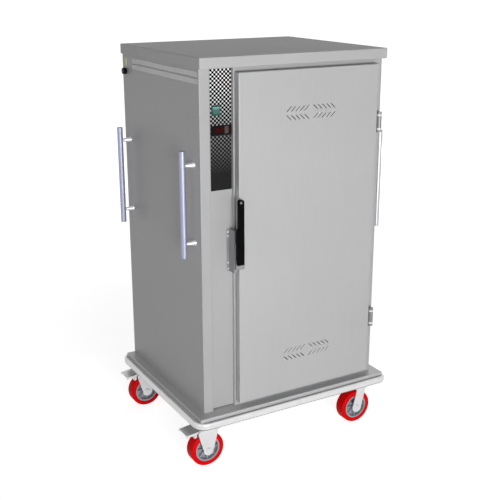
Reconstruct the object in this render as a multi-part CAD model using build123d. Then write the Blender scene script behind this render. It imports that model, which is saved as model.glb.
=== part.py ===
"""Heated banquet cart on four swivel castors, built as separate pieces.

The sizes are worked out about the middle of the cabinet and every piece is then moved so
that the origin lies on the floor under the middle of the overall box. +Z is up, the door
faces -Y and the control column stands on the -X side. All sizes are in millimetres.
"""
from build123d import *
import os
from math import cos, radians, sin, sqrt, tan

# Cabinet shell
BODY_WIDTH = 700.0
BODY_DEPTH = 604.0
BODY_HEIGHT = 1160.0
SHEET = 1.2
POST_WIDTH = 36.0
FOLD_DEPTH = 12.0
BACK_FOLD = 16.0

# Lid
LID_HEIGHT = 35.0
LID_SIDE_OVERHANG = 6.0
LID_FRONT_OVERHANG = 18.0

# Door opening, front frame and lined cavity
OPENING_LEFT_MARGIN = 160.0
OPENING_RIGHT_MARGIN = 60.0
OPENING_BOTTOM_RISE = 55.0
OPENING_TOP_DROP = 40.0
CONTROL_COLUMN = 119.0
FRAME_RETURN = 20.0
CAVITY_BACK_GAP = 40.0

# Door
DOOR_LEFT_MARGIN = 124.0
DOOR_RIGHT_MARGIN = 34.0
DOOR_BOTTOM_RISE = 19.0
DOOR_TOP_DROP = 15.0
DOOR_STAND_OFF = 28.0
DOOR_BACK_GAP = 3.0
GASKET_WIDTH = 12.0
GASKET_INSET = 12.0
DOOR_VENT_LENGTH = 23.5
DOOR_VENT_WIDTH = 2.6
DOOR_VENT_PITCH = 17.2
DOOR_VENT_COUNT = 5
DOOR_VENT_ANGLE = 42.0
DOOR_VENT_SHIFT = 0.5
DOOR_VENT_INNER = 17.0
DOOR_VENT_ROW_GAP = 28.5
DOOR_VENT_UPPER_DROP = 155.2
DOOR_VENT_LOWER_RISE = 160.5

# Hinges
HINGE_AXIS_OUT = 10.0
HINGE_AXIS_FRONT = 28.0
HINGE_HEIGHT = 69.0
HINGE_UPPER_DROP = 212.0
HINGE_LOWER_RISE = 230.5
HINGE_BARREL_RADIUS = 8.0
HINGE_PIN_RADIUS = 4.0
HINGE_LEAF = 2.5
HINGE_LEAF_WIDTH = 14.0
HINGE_SIDE_LEAF = 1.7
HINGE_SIDE_LEAF_DEPTH = 22.0
HINGE_WEB = 8.0
HINGE_EAR = 7.5
HINGE_WASHER = 6.4
HINGE_END_GAP = 0.3

# Latch
LATCH_BASE_BOTTOM_RISE = 509.0
LATCH_BASE_HEIGHT = 90.0
LATCH_BASE_OUT = 17.0
LATCH_BASE_IN = 14.0
LATCH_BASE_THICKNESS = 11.0
LATCH_PIVOT_RISE = 32.0
LATCH_PIVOT_FRONT = 6.0
LATCH_PIN_RADIUS = 3.0
LATCH_BOSS_OUT = 15.0
LATCH_BOSS_WIDTH = 11.0
LEVER_COVER_OUT = 22.0
LEVER_GRIP_OUT = 16.0
LEVER_IN = 3.0
LEVER_TAIL = 11.0
LEVER_COVER_HEIGHT = 120.0
LEVER_LENGTH = 218.0
LEVER_THICKNESS = 14.5
LEVER_GRIP_THICKNESS = 13.0
LEVER_STAND_OFF = 4.5
LEVER_POCKET_GAP = 0.5
KEEPER_BOTTOM_RISE = 494.0
KEEPER_HEIGHT = 146.0
KEEPER_FLANGE_OUT = 21.0
KEEPER_FLANGE = 2.5
KEEPER_BODY_OUT = 13.0
KEEPER_SIDE_GAP = 0.4
KEEPER_FRONT_GAP = 2.0
KEEPER_CORNER = 5.0
KEEPER_SCREW_OUT = 16.5
KEEPER_SCREW_RADIUS = 1.9
KEEPER_SCREW_HEAD_RADIUS = 3.4
KEEPER_SCREW_HEAD = 1.4
KEEPER_SCREW_LENGTH = 8.0
KEEPER_SCREW_RISES = (8.5, 29.5, 121.0, 134.5)

# Control fascia, rocker switch and controller
FASCIA_END_GAP = 2.0
FASCIA_TUCK = 11.0
CONTROLLER_WIDTH = 74.0
CONTROLLER_HEIGHT = 32.0
CONTROLLER_CENTRE_DROP = 195.0
CONTROLLER_BEZEL = 3.0
CONTROLLER_LIP = 1.5
CONTROLLER_DEPTH = 60.0
KEY_OUT = 20.0
KEY_RISE = 1.0
KEY_WIDTH = 14.0
KEY_HEIGHT = 24.0
KEY_PROUD = 2.0
KEY_TRAVEL = 1.5
KEY_CLEARANCE = 0.3
SWITCH_IN = 63.0
SWITCH_CENTRE_DROP = 132.0
SWITCH_SIDE = 31.0
SWITCH_CORNER = 3.0
SWITCH_BEZEL = 3.0
SWITCH_HOUSING_SIDE = 28.6
SWITCH_HOUSING_DEPTH = 30.0
SWITCH_PIVOT_SINK = 4.0
SWITCH_PIN_RADIUS = 1.5
SWITCH_PIN_HALF = 13.4
ROCKER_WIDTH = 24.0
ROCKER_RADIUS = 12.7
ROCKER_BACK = 6.0
ROCKER_PROUD = 0.5
ROCKER_TILT = 9.0

# Side vents beside the control column
SIDE_VENT_WIDTH = 5.0
SIDE_VENT_PITCH = 10.0
SIDE_VENT_COUNT = 51
SIDE_VENT_INSET = 11.0
SIDE_VENT_ROWS = ((8.0, 26.0), (29.0, 48.0))

# Power inlet gland
GLAND_INSET = 30.0
GLAND_DROP = 59.0
GLAND_RADIUS = 11.0
GLAND_LENGTH = 14.0
GLAND_BORE = 5.0
GLAND_THREAD_RADIUS = 8.0
GLAND_THREAD_LENGTH = 12.0
GLAND_EDGE = 2.5

# Push bars
BAR_RADIUS = 10.0
BAR_LENGTH = 353.0
BAR_OFFSET = 40.0
BAR_INSET = 46.0
BAR_CENTRE_DROP = 432.5
BAR_EDGE = 1.0
STANDOFF_SPACING = 258.0
STANDOFF_BASE_RADIUS = 10.75
STANDOFF_TIP_RADIUS = 5.25
STANDOFF_SINK = 4.0

# Platform, chassis and bumper
PLATFORM_SIDE = 33.0
PLATFORM_FRONT = 40.5
TRAY_SHEET = 2.0
TRAY_LIP = 15.0
CHASSIS_GAP = 0.3
CHASSIS_WIDTH = 30.0
CHASSIS_HEIGHT = 38.0
CHASSIS_WALL = 3.0
CHASSIS_CROSS_X = 100.0
CASTOR_PAD = 6.0
CASTOR_PAD_HALF_X = 60.0
CASTOR_PAD_HALF_Y = 55.0
BUMPER_HEIGHT = 25.0
BUMPER_THICKNESS = 12.0
BUMPER_ROUND = 5.8
BUMPER_STAND_OFF = 6.0
BUMPER_TAIL_HEIGHT = 18.0
BUMPER_CENTRE_DROP = 23.0
BUMPER_TAIL_DROP = 24.5
BUMPER_CORNER = 45.0
BUMPER_JOINT = 0.4

# Castors
CASTOR_HEIGHT = 165.0
CASTOR_SIDE_INSET = 66.0
CASTOR_FRONT_INSET = 64.5
CASTOR_REAR_INSET = 56.0
CASTOR_TRAIL = 20.0
WHEEL_RADIUS = 62.5
TYRE_WIDTH = 44.0
TYRE_ROUND = 5.0
RIM_RADIUS = 46.0
RIM_INNER_RADIUS = 40.0
RIM_WIDTH = 40.0
BOND_GAP = 0.05
WEB_THICKNESS = 8.0
HUB_RADIUS = 13.0
HUB_LENGTH = 49.2
RIB_COUNT = 8
RIB_THICKNESS = 5.0
RIB_WIDTH = 28.0
AXLE_RADIUS = 5.0
AXLE_HEX_RADIUS = 9.8
AXLE_HEX_LENGTH = 6.0
RUNNING_FIT = 0.05
FACE_GAP = 0.3
FORK_GAP = 50.0
FORK_SHEET = 4.0
FORK_LEG_WIDTH = 39.0
FORK_CROWN_TOP = 139.0
FORK_CROWN = 5.0
FORK_CROWN_HALF = 25.0
FORK_CAP_RADIUS = 36.0
PLATE_X = 100.0
PLATE_Y = 85.0
PLATE_THICKNESS = 4.0
RACE_RADIUS = 34.0
RACE_HEIGHT = 9.0
KINGPIN_RADIUS = 6.0
KINGPIN_HEAD_RADIUS = 11.0
KINGPIN_HEAD = 3.0
BOLT_RADIUS = 4.0
BOLT_HOLE_RADIUS = 4.3
BOLT_HEX_RADIUS = 7.5
BOLT_HEAD = 5.3
BOLT_NUT = 6.5
BOLT_HALF_X = 38.0
BOLT_HALF_Y = 30.0

# Brake pedals, measured from the castor head
EAR_START_X = -15.0
EAR_END_X = -58.0
EAR_BOTTOM_Z = 127.0
EAR_TOP_Z = 141.0
EAR_CHAMFER = 6.0
EAR_FOOT_X = -41.0
EAR_FOOT_Z = 68.0
PEDAL_PIVOT_X = -46.0
PEDAL_PIVOT_Z = 134.0
PEDAL_PIN_RADIUS = 3.0
PEDAL_START_X = -40.0
PEDAL_START_Z = 147.5
PEDAL_END_X = -105.0
PEDAL_END_Z = 140.0
PEDAL_SHEET = 3.0
PEDAL_HALF_WIDTH = 31.0
PEDAL_FLANGE_START_X = -61.0
PEDAL_FLANGE_DROP = 8.0
PEDAL_CHEEK_GAP = 0.5
PEDAL_CHEEK_RADIUS = 6.0
PEDAL_TRAVEL = 10.0
PEDAL_SHOE_HALF_WIDTH = 17.0
PEDAL_SHOE_GAP = 0.8
PEDAL_SHOE_ANGLES = (124.0, 127.0, 130.0, 133.0)

# Racks and wire shelves
RACK_STAND_OFF = 25.0
RACK_POST = 12.0
RACK_FRONT_INSET = 36.0
RACK_REAR_INSET = 36.0
RACK_TOP_GAP = 30.0
LEDGE_WIDTH = 22.0
LEDGE_THICKNESS = 2.0
LEDGE_FIRST_RISE = 55.0
LEDGE_PITCH = 80.0
LEDGE_COUNT = 12
SHELF_LEDGES = (1, 4, 7, 10)
SHELF_SIDE_GAP = 4.0
SHELF_FRAME_RADIUS = 3.0
SHELF_WIRE_RADIUS = 1.5
SHELF_WIRE_COUNT = 17

# Circulation fan, heater and air baffle
FAN_DROP = 185.0
FAN_RADIUS = 58.0
FAN_START = 4.0
FAN_DEPTH = 15.0
FAN_DISC = 2.0
FAN_BLADES = 12
FAN_BLADE_THICKNESS = 2.0
FAN_BLADE_INNER = 34.0
FAN_HUB_RADIUS = 12.0
FAN_SHAFT_RADIUS = 4.0
FAN_SHAFT_SINK = 12.0
SHAFT_HOLE_RADIUS = 10.0
MOTOR_RADIUS = 38.0
MOTOR_LENGTH = 56.0
MOTOR_FLANGE_RADIUS = 48.0
MOTOR_FLANGE = 3.0
HEATER_RADIUS = 85.0
HEATER_TUBE_RADIUS = 4.0
HEATER_LEG_RADIUS = 5.5
HEATER_STAND_OFF = 12.0
HEATER_LEG_HALF = 12.0
HEATER_LEG_OUT = 14.0
BAFFLE_STAND_OFF = 22.0
BAFFLE_HALF_WIDTH = 150.0
BAFFLE_BELOW = 120.0
BAFFLE_ABOVE = 130.0
BAFFLE_SLOT = 6.0
BAFFLE_SLOT_PITCH = 12.0
BAFFLE_SLOT_COUNT = 7
BAFFLE_SLOT_LENGTH = 76.0

# Levels and faces that follow from the sizes above
CHASSIS_TOP = CASTOR_HEIGHT + CHASSIS_HEIGHT
PLATFORM_TOP = CHASSIS_TOP + TRAY_SHEET
BODY_TOP = PLATFORM_TOP + BODY_HEIGHT
LID_TOP = BODY_TOP + LID_HEIGHT
LEFT = -BODY_WIDTH / 2
RIGHT = BODY_WIDTH / 2
FRONT = -BODY_DEPTH / 2
REAR = BODY_DEPTH / 2
FASCIA_FRONT = FRONT + FOLD_DEPTH
FASCIA_BACK = FASCIA_FRONT + SHEET
TRAY_X = BODY_WIDTH / 2 + PLATFORM_SIDE
TRAY_FRONT = FRONT - PLATFORM_FRONT
CASTOR_X = TRAY_X - CASTOR_SIDE_INSET
CASTOR_FRONT_Y = TRAY_FRONT + CASTOR_FRONT_INSET
CASTOR_REAR_Y = REAR - CASTOR_REAR_INSET
CHASSIS_X = TRAY_X - TRAY_SHEET - CHASSIS_GAP
CHASSIS_FRONT = TRAY_FRONT + TRAY_SHEET + CHASSIS_GAP
CHASSIS_REAR = REAR - TRAY_SHEET - CHASSIS_GAP
BUMPER_OUT = BUMPER_STAND_OFF + BUMPER_THICKNESS
JAMB_EDGE = LEFT + CONTROL_COLUMN
OPENING_LEFT = LEFT + OPENING_LEFT_MARGIN
OPENING_RIGHT = RIGHT - OPENING_RIGHT_MARGIN
CAVITY_BOTTOM = PLATFORM_TOP + OPENING_BOTTOM_RISE
CAVITY_TOP = BODY_TOP - OPENING_TOP_DROP
CAVITY_FRONT = FRONT + FRAME_RETURN
CAVITY_REAR = REAR - CAVITY_BACK_GAP
LINER_LEFT = OPENING_LEFT - SHEET
LINER_RIGHT = OPENING_RIGHT + SHEET
LINER_REAR = CAVITY_REAR + SHEET
DOOR_LEFT = LEFT + DOOR_LEFT_MARGIN
DOOR_RIGHT = RIGHT - DOOR_RIGHT_MARGIN
DOOR_FACE = FRONT - DOOR_STAND_OFF
DOOR_REAR = FRONT - DOOR_BACK_GAP
DOOR_BOTTOM = PLATFORM_TOP + DOOR_BOTTOM_RISE
DOOR_TOP = BODY_TOP - DOOR_TOP_DROP
DOOR_VENT_MIDDLE = (DOOR_LEFT + DOOR_RIGHT) / 2 + DOOR_VENT_SHIFT
HINGE_X = DOOR_RIGHT + HINGE_AXIS_OUT
HINGE_Y = FRONT - HINGE_AXIS_FRONT
HINGE_LEVELS = (BODY_TOP - HINGE_UPPER_DROP, PLATFORM_TOP + HINGE_LOWER_RISE)
LATCH_BOTTOM = PLATFORM_TOP + LATCH_BASE_BOTTOM_RISE
LATCH_BASE_LEFT = DOOR_LEFT - LATCH_BASE_OUT
LATCH_BASE_RIGHT = DOOR_LEFT + LATCH_BASE_IN
LATCH_BOSS_LEFT = DOOR_LEFT - LATCH_BOSS_OUT
LATCH_BOSS_RIGHT = LATCH_BOSS_LEFT + LATCH_BOSS_WIDTH
LATCH_PIVOT_Y = DOOR_FACE - LATCH_BASE_THICKNESS - LATCH_PIVOT_FRONT
LATCH_PIVOT_Z = LATCH_BOTTOM + LATCH_PIVOT_RISE
LEVER_LEFT = DOOR_LEFT - LEVER_COVER_OUT
LEVER_GRIP_LEFT = DOOR_LEFT - LEVER_GRIP_OUT
LEVER_RIGHT = DOOR_LEFT + LEVER_IN
KEEPER_BOTTOM = PLATFORM_TOP + KEEPER_BOTTOM_RISE
KEEPER_FLANGE_LEFT = JAMB_EDGE - KEEPER_FLANGE_OUT
KEEPER_BODY_LEFT = JAMB_EDGE - KEEPER_BODY_OUT
KEEPER_SCREW_X = JAMB_EDGE - KEEPER_SCREW_OUT
KEY_X = JAMB_EDGE - KEY_OUT
SWITCH_X = LEFT + SWITCH_IN
SIDE_VENT_START = FRONT + SIDE_VENT_INSET
GLAND_Y = REAR - GLAND_INSET
BAR_Y = REAR - BAR_INSET
FAN_Z = BODY_TOP - FAN_DROP
HEATER_X = OPENING_LEFT + HEATER_STAND_OFF
HEATER_LEG_END = JAMB_EDGE - HEATER_LEG_OUT
HEATER_LEG_Z = FAN_Z - sqrt(HEATER_RADIUS ** 2 - HEATER_LEG_HALF ** 2)
FORK_OUTER = FORK_GAP / 2 + FORK_SHEET
FORK_CROWN_BOTTOM = FORK_CROWN_TOP - FORK_CROWN
PLATE_BOTTOM = CASTOR_HEIGHT - PLATE_THICKNESS
RACE_BOTTOM = PLATE_BOTTOM - RACE_HEIGHT
CASTOR_PLACES = {
    "front_left": (-CASTOR_X, CASTOR_FRONT_Y),
    "front_right": (CASTOR_X, CASTOR_FRONT_Y),
    "rear_left": (-CASTOR_X, CASTOR_REAR_Y),
    "rear_right": (CASTOR_X, CASTOR_REAR_Y),
}

# The overall box runs from the pedal tips to the right bumper and from front to rear bumper
ORIGIN_X = (TRAY_X + BUMPER_OUT - CASTOR_X + PEDAL_END_X) / 2
ORIGIN_Y = (TRAY_FRONT + REAR) / 2


def block(x0, x1, y0, y1, z0, z1):
    """Return a box between two corners."""
    middle = Pos((x0 + x1) / 2, (y0 + y1) / 2, (z0 + z1) / 2)
    return middle * Box(x1 - x0, y1 - y0, z1 - z0)


def rod_x(x0, x1, y, z, radius):
    """Return a round rod along X."""
    return Pos((x0 + x1) / 2, y, z) * Rot(0, 90, 0) * Cylinder(radius, x1 - x0)


def rod_y(x, y0, y1, z, radius):
    """Return a round rod along Y."""
    return Pos(x, (y0 + y1) / 2, z) * Rot(90, 0, 0) * Cylinder(radius, y1 - y0)


def rod_z(x, y, z0, z1, radius):
    """Return a round rod along Z."""
    return Pos(x, y, (z0 + z1) / 2) * Cylinder(radius, z1 - z0)


def hexagon_y(x, y0, y1, z, radius):
    """Return a hexagonal bar along Y."""
    return Pos(x, y1, z) * Rot(90, 0, 0) * extrude(RegularPolygon(radius, 6), y1 - y0)


def hexagon_z(x, y, z0, z1, radius):
    """Return a hexagonal bar along Z."""
    return Pos(x, y, z0) * extrude(RegularPolygon(radius, 6), z1 - z0)


def plate_xz(points, y0, y1):
    """Return a plate with its outline in X and Z, between two Y faces."""
    face = make_face(Polyline(*[(x, y0, z) for x, z in points], close=True))
    return extrude(face, y1 - y0, dir=(0, 1, 0))


def plate_yz(points, x0, x1):
    """Return a plate with its outline in Y and Z, between two X faces."""
    face = make_face(Polyline(*[(x0, y, z) for y, z in points], close=True))
    return extrude(face, x1 - x0, dir=(1, 0, 0))


def save(node, *shapes):
    """Move one node to the common origin and write it, as one solid or as several."""
    solids = [solid for shape in shapes for solid in shape.solids()]
    moved = [Pos(-ORIGIN_X, -ORIGIN_Y, 0) * solid for solid in solids]
    whole = moved[0] if len(moved) == 1 else Compound(children=moved)
    export_step(whole, os.path.join("parts", node + ".step"))


def side_panel():
    """Return the folded left sheet: the wall, the front post and the post's return."""
    fold = LEFT + POST_WIDTH
    panel = block(LEFT, LEFT + SHEET, FRONT, REAR, PLATFORM_TOP, BODY_TOP)
    panel += block(LEFT, fold, FRONT, FRONT + SHEET, PLATFORM_TOP, BODY_TOP)
    panel += block(fold - SHEET, fold, FRONT, FASCIA_FRONT, PLATFORM_TOP, BODY_TOP)
    return panel


def make_side_panels():
    """Make both side panels, with vents and the gland hole on the control side."""
    left = side_panel()
    save("right_side_panel", mirror(left, about=Plane.YZ))
    slots = []
    for top_drop, bottom_drop in SIDE_VENT_ROWS:
        for index in range(SIDE_VENT_COUNT):
            y0 = SIDE_VENT_START + index * SIDE_VENT_PITCH
            slots.append(block(LEFT - SHEET, LEFT + 2 * SHEET, y0, y0 + SIDE_VENT_WIDTH,
                               BODY_TOP - bottom_drop, BODY_TOP - top_drop))
    left -= slots
    hole_radius = GLAND_THREAD_RADIUS + RUNNING_FIT
    left -= rod_x(LEFT - SHEET, LEFT + 2 * SHEET, GLAND_Y, BODY_TOP - GLAND_DROP, hole_radius)
    save("left_side_panel", left)


def make_back_and_lid():
    """Make the back sheet between the sides and the lid that rests on the body."""
    inner = RIGHT - SHEET
    back = block(-inner, inner, REAR - SHEET, REAR, PLATFORM_TOP, BODY_TOP)
    for x0 in (-inner, inner - SHEET):
        back += block(x0, x0 + SHEET, REAR - BACK_FOLD, REAR, PLATFORM_TOP, BODY_TOP)
    save("back_panel", back)

    lid_x = BODY_WIDTH / 2 + LID_SIDE_OVERHANG
    lid_front = FRONT - LID_FRONT_OVERHANG
    lid = block(-lid_x, lid_x, lid_front, REAR, BODY_TOP, LID_TOP)
    lid -= block(-lid_x + SHEET, lid_x - SHEET, lid_front + SHEET, REAR - SHEET,
                 BODY_TOP + SHEET, LID_TOP - SHEET)
    lid -= block(LEFT + FOLD_DEPTH, RIGHT - FOLD_DEPTH, FASCIA_FRONT, REAR - FOLD_DEPTH,
                 BODY_TOP - SHEET, BODY_TOP + 2 * SHEET)
    save("lid", lid)


def make_front_frame():
    """Make the front frame with its door opening, its collar and its left fold."""
    frame = block(JAMB_EDGE, RIGHT - POST_WIDTH, FRONT, FRONT + SHEET, PLATFORM_TOP, BODY_TOP)
    frame += block(LINER_LEFT, LINER_RIGHT, FRONT, CAVITY_FRONT,
                   CAVITY_BOTTOM - SHEET, CAVITY_TOP + SHEET)
    frame -= block(OPENING_LEFT, OPENING_RIGHT, FRONT - SHEET, CAVITY_FRONT + SHEET,
                   CAVITY_BOTTOM, CAVITY_TOP)
    frame += block(JAMB_EDGE, JAMB_EDGE + SHEET, FRONT, FASCIA_FRONT, PLATFORM_TOP, BODY_TOP)
    save("front_frame", frame)


def wall_holes(x0, x1):
    """Return cutters for the fan shaft and the two heater legs, along X."""
    holes = [rod_x(x0, x1, 0, FAN_Z, SHAFT_HOLE_RADIUS)]
    for y in (-HEATER_LEG_HALF, HEATER_LEG_HALF):
        holes.append(rod_x(x0, x1, y, HEATER_LEG_Z, HEATER_LEG_RADIUS + FACE_GAP))
    return holes


def make_liner_and_insulation():
    """Make the cavity liner and the insulation slabs packed round it."""
    liner = block(LINER_LEFT, LINER_RIGHT, CAVITY_FRONT, LINER_REAR,
                  CAVITY_BOTTOM - SHEET, CAVITY_TOP + SHEET)
    liner -= block(OPENING_LEFT, OPENING_RIGHT, CAVITY_FRONT - SHEET, CAVITY_REAR,
                   CAVITY_BOTTOM, CAVITY_TOP)
    liner -= wall_holes(LINER_LEFT - SHEET, OPENING_LEFT + SHEET)
    save("inner_liner", liner)

    low = CAVITY_BOTTOM - SHEET
    high = CAVITY_TOP + SHEET
    back_right = RIGHT - 2 * SHEET
    left = block(JAMB_EDGE, LINER_LEFT, CAVITY_FRONT, LINER_REAR, low, high)
    left -= wall_holes(JAMB_EDGE - SHEET, OPENING_LEFT)
    right = block(LINER_RIGHT, RIGHT - SHEET, CAVITY_FRONT, LINER_REAR, low, high)
    floor = block(JAMB_EDGE, back_right, CAVITY_FRONT, LINER_REAR, PLATFORM_TOP, low)
    roof = block(JAMB_EDGE, back_right, CAVITY_FRONT, LINER_REAR, high, BODY_TOP)
    back = block(JAMB_EDGE, back_right, LINER_REAR, REAR - SHEET, PLATFORM_TOP, BODY_TOP)
    cap = block(LEFT + FOLD_DEPTH, RIGHT - FOLD_DEPTH, FASCIA_FRONT, REAR - FOLD_DEPTH,
                BODY_TOP, LID_TOP - SHEET)
    save("cabinet_insulation", left, right, floor, roof, back, cap)


def door_vent_cutters(centre_z, y0, y1):
    """Return one set of slanted vents: four groups of strokes in two mirrored rows."""
    cutters = []
    for side in (-1, 1):
        for row in (-1, 1):
            for index in range(DOOR_VENT_COUNT):
                x = DOOR_VENT_MIDDLE + side * (DOOR_VENT_INNER + index * DOOR_VENT_PITCH)
                z = centre_z + row * DOOR_VENT_ROW_GAP / 2
                turn = Rot(0, side * row * DOOR_VENT_ANGLE, 0)
                stroke = Box(DOOR_VENT_LENGTH, y1 - y0, DOOR_VENT_WIDTH)
                cutters.append(Pos(x, (y0 + y1) / 2, z) * turn * stroke)
    return cutters


def make_door():
    """Make the door: outer skin, inner sheet, insulation and gasket."""
    x0, x1 = DOOR_LEFT + SHEET, DOOR_RIGHT - SHEET
    z0, z1 = DOOR_BOTTOM + SHEET, DOOR_TOP - SHEET
    back_sheet = DOOR_REAR - SHEET
    skin = block(DOOR_LEFT, DOOR_RIGHT, DOOR_FACE, DOOR_REAR, DOOR_BOTTOM, DOOR_TOP)
    skin -= block(x0, x1, DOOR_FACE + SHEET, DOOR_REAR + SHEET, z0, z1)
    liner = block(x0, x1, back_sheet, DOOR_REAR, z0, z1)
    fill = block(x0, x1, DOOR_FACE + SHEET, back_sheet, z0, z1)
    half = DOOR_VENT_INNER + (DOOR_VENT_COUNT - 1) * DOOR_VENT_PITCH + DOOR_VENT_LENGTH / 2
    rise = DOOR_VENT_ROW_GAP / 2 + DOOR_VENT_LENGTH / 2
    for centre in (BODY_TOP - DOOR_VENT_UPPER_DROP, PLATFORM_TOP + DOOR_VENT_LOWER_RISE):
        cutters = door_vent_cutters(centre, DOOR_FACE - SHEET, DOOR_REAR + SHEET)
        skin -= cutters
        liner -= cutters
        fill -= block(DOOR_VENT_MIDDLE - half, DOOR_VENT_MIDDLE + half, DOOR_FACE, DOOR_REAR,
                      centre - rise, centre + rise)
    save("door_skin", skin)
    save("door_liner", liner)
    save("door_insulation", fill)

    outer = GASKET_INSET
    inner = GASKET_INSET + GASKET_WIDTH
    gasket = block(DOOR_LEFT + outer, DOOR_RIGHT - outer, DOOR_REAR, FRONT - FACE_GAP,
                   DOOR_BOTTOM + outer, DOOR_TOP - outer)
    gasket -= block(DOOR_LEFT + inner, DOOR_RIGHT - inner, DOOR_REAR - SHEET, FRONT,
                    DOOR_BOTTOM + inner, DOOR_TOP - inner)
    save("door_gasket", gasket)


def make_hinges():
    """Make two three-knuckle hinges with their washers and pins."""
    post_leaves, door_leaves, pins, washers = [], [], [], []
    bore_radius = HINGE_PIN_RADIUS + RUNNING_FIT
    leaf_right = DOOR_RIGHT + HINGE_SIDE_LEAF
    post_left = DOOR_RIGHT + HINGE_LEAF
    for middle in HINGE_LEVELS:
        low = middle - HINGE_HEIGHT / 2
        high = middle + HINGE_HEIGHT / 2
        knuckle_low = low + HINGE_EAR + HINGE_WASHER + 2 * HINGE_END_GAP
        knuckle_high = high - HINGE_EAR - HINGE_WASHER - 2 * HINGE_END_GAP
        bore = rod_z(HINGE_X, HINGE_Y, low - 1, high + 1, bore_radius)
        post = block(post_left, post_left + HINGE_LEAF_WIDTH, FRONT - HINGE_LEAF, FRONT, low, high)
        for z0, z1 in ((low, low + HINGE_EAR), (high - HINGE_EAR, high)):
            post += rod_z(HINGE_X, HINGE_Y, z0, z1, HINGE_BARREL_RADIUS)
            post += block(HINGE_X - HINGE_WEB / 2, HINGE_X + HINGE_WEB / 2, HINGE_Y, FRONT, z0, z1)
        post_leaves.append(post - bore)

        door = block(DOOR_RIGHT, leaf_right, DOOR_FACE, DOOR_FACE + HINGE_SIDE_LEAF_DEPTH, low, high)
        door += block(DOOR_RIGHT, HINGE_X, HINGE_Y, HINGE_Y + HINGE_WEB, knuckle_low, knuckle_high)
        door += rod_z(HINGE_X, HINGE_Y, knuckle_low, knuckle_high, HINGE_BARREL_RADIUS)
        door_leaves.append(door - bore)

        pins.append(rod_z(HINGE_X, HINGE_Y, low, high, HINGE_PIN_RADIUS))
        for z0 in (low + HINGE_EAR + HINGE_END_GAP, knuckle_high + HINGE_END_GAP):
            washer = rod_z(HINGE_X, HINGE_Y, z0, z0 + HINGE_WASHER, HINGE_BARREL_RADIUS)
            washers.append(washer - bore)
    save("hinge_post_leaves", *post_leaves)
    save("hinge_door_leaves", *door_leaves)
    save("hinge_pins", *pins)
    save("hinge_washers", *washers)


def make_latch():
    """Make the latch base with its boss, the lever that tilts on it and its pin."""
    base_front = DOOR_FACE - LATCH_BASE_THICKNESS
    hole_radius = LATCH_PIN_RADIUS + RUNNING_FIT
    hole = rod_x(LEVER_LEFT - 1, LATCH_BASE_RIGHT, LATCH_PIVOT_Y, LATCH_PIVOT_Z, hole_radius)
    base = block(LATCH_BASE_LEFT, LATCH_BASE_RIGHT, base_front, DOOR_FACE,
                 LATCH_BOTTOM, LATCH_BOTTOM + LATCH_BASE_HEIGHT)
    base += rod_x(LATCH_BOSS_LEFT, LATCH_BOSS_RIGHT, LATCH_PIVOT_Y, LATCH_PIVOT_Z, LATCH_PIVOT_FRONT)
    base += block(LATCH_BOSS_LEFT, LATCH_BOSS_RIGHT, LATCH_PIVOT_Y, base_front,
                  LATCH_PIVOT_Z - LATCH_PIVOT_FRONT, LATCH_PIVOT_Z + LATCH_PIVOT_FRONT)
    save("latch_base", base - hole)

    back = base_front - LEVER_STAND_OFF
    front = back - LEVER_THICKNESS
    low = LATCH_PIVOT_Z - LEVER_TAIL
    cover_top = low + LEVER_COVER_HEIGHT
    grip_front = back - LEVER_GRIP_THICKNESS
    heel = LATCH_PIVOT_Y - LEVER_TAIL / 2
    cover = plate_yz([(back, cover_top), (front, cover_top), (front, low), (heel, low),
                      (back, LATCH_PIVOT_Z - LEVER_TAIL / 2)], LEVER_LEFT, LEVER_RIGHT)
    grip = block(LEVER_GRIP_LEFT, LEVER_RIGHT, grip_front, back, low, low + LEVER_LENGTH)
    crown = grip.edges().filter_by(Axis.Y).group_by(Axis.Z)[-1]
    grip = fillet(crown, (LEVER_RIGHT - LEVER_GRIP_LEFT) / 3)
    pocket_left = LATCH_BOSS_LEFT - LEVER_POCKET_GAP
    pocket_right = LATCH_BOSS_RIGHT + LEVER_POCKET_GAP
    reach = LATCH_PIVOT_FRONT + LEVER_POCKET_GAP
    grip -= block(LEVER_GRIP_LEFT - 1, LEVER_RIGHT + 1, grip_front - 1, back + 1,
                  low - 1, LATCH_PIVOT_Z + 2 * reach)
    lever = cover + grip
    lever -= rod_x(pocket_left, pocket_right, LATCH_PIVOT_Y, LATCH_PIVOT_Z, reach)
    lever -= block(pocket_left, pocket_right, LATCH_PIVOT_Y, back + 1, low - 1, LATCH_PIVOT_Z + 2 * reach)
    save("latch_lever", lever - hole)
    pin = rod_x(LEVER_LEFT, LEVER_RIGHT, LATCH_PIVOT_Y, LATCH_PIVOT_Z, LATCH_PIN_RADIUS)
    save("latch_pin", pin)


def keeper_screw_places():
    """Return the X and Z of the four screws that hold the keeper."""
    return [(KEEPER_SCREW_X, KEEPER_BOTTOM + rise) for rise in KEEPER_SCREW_RISES]


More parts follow.
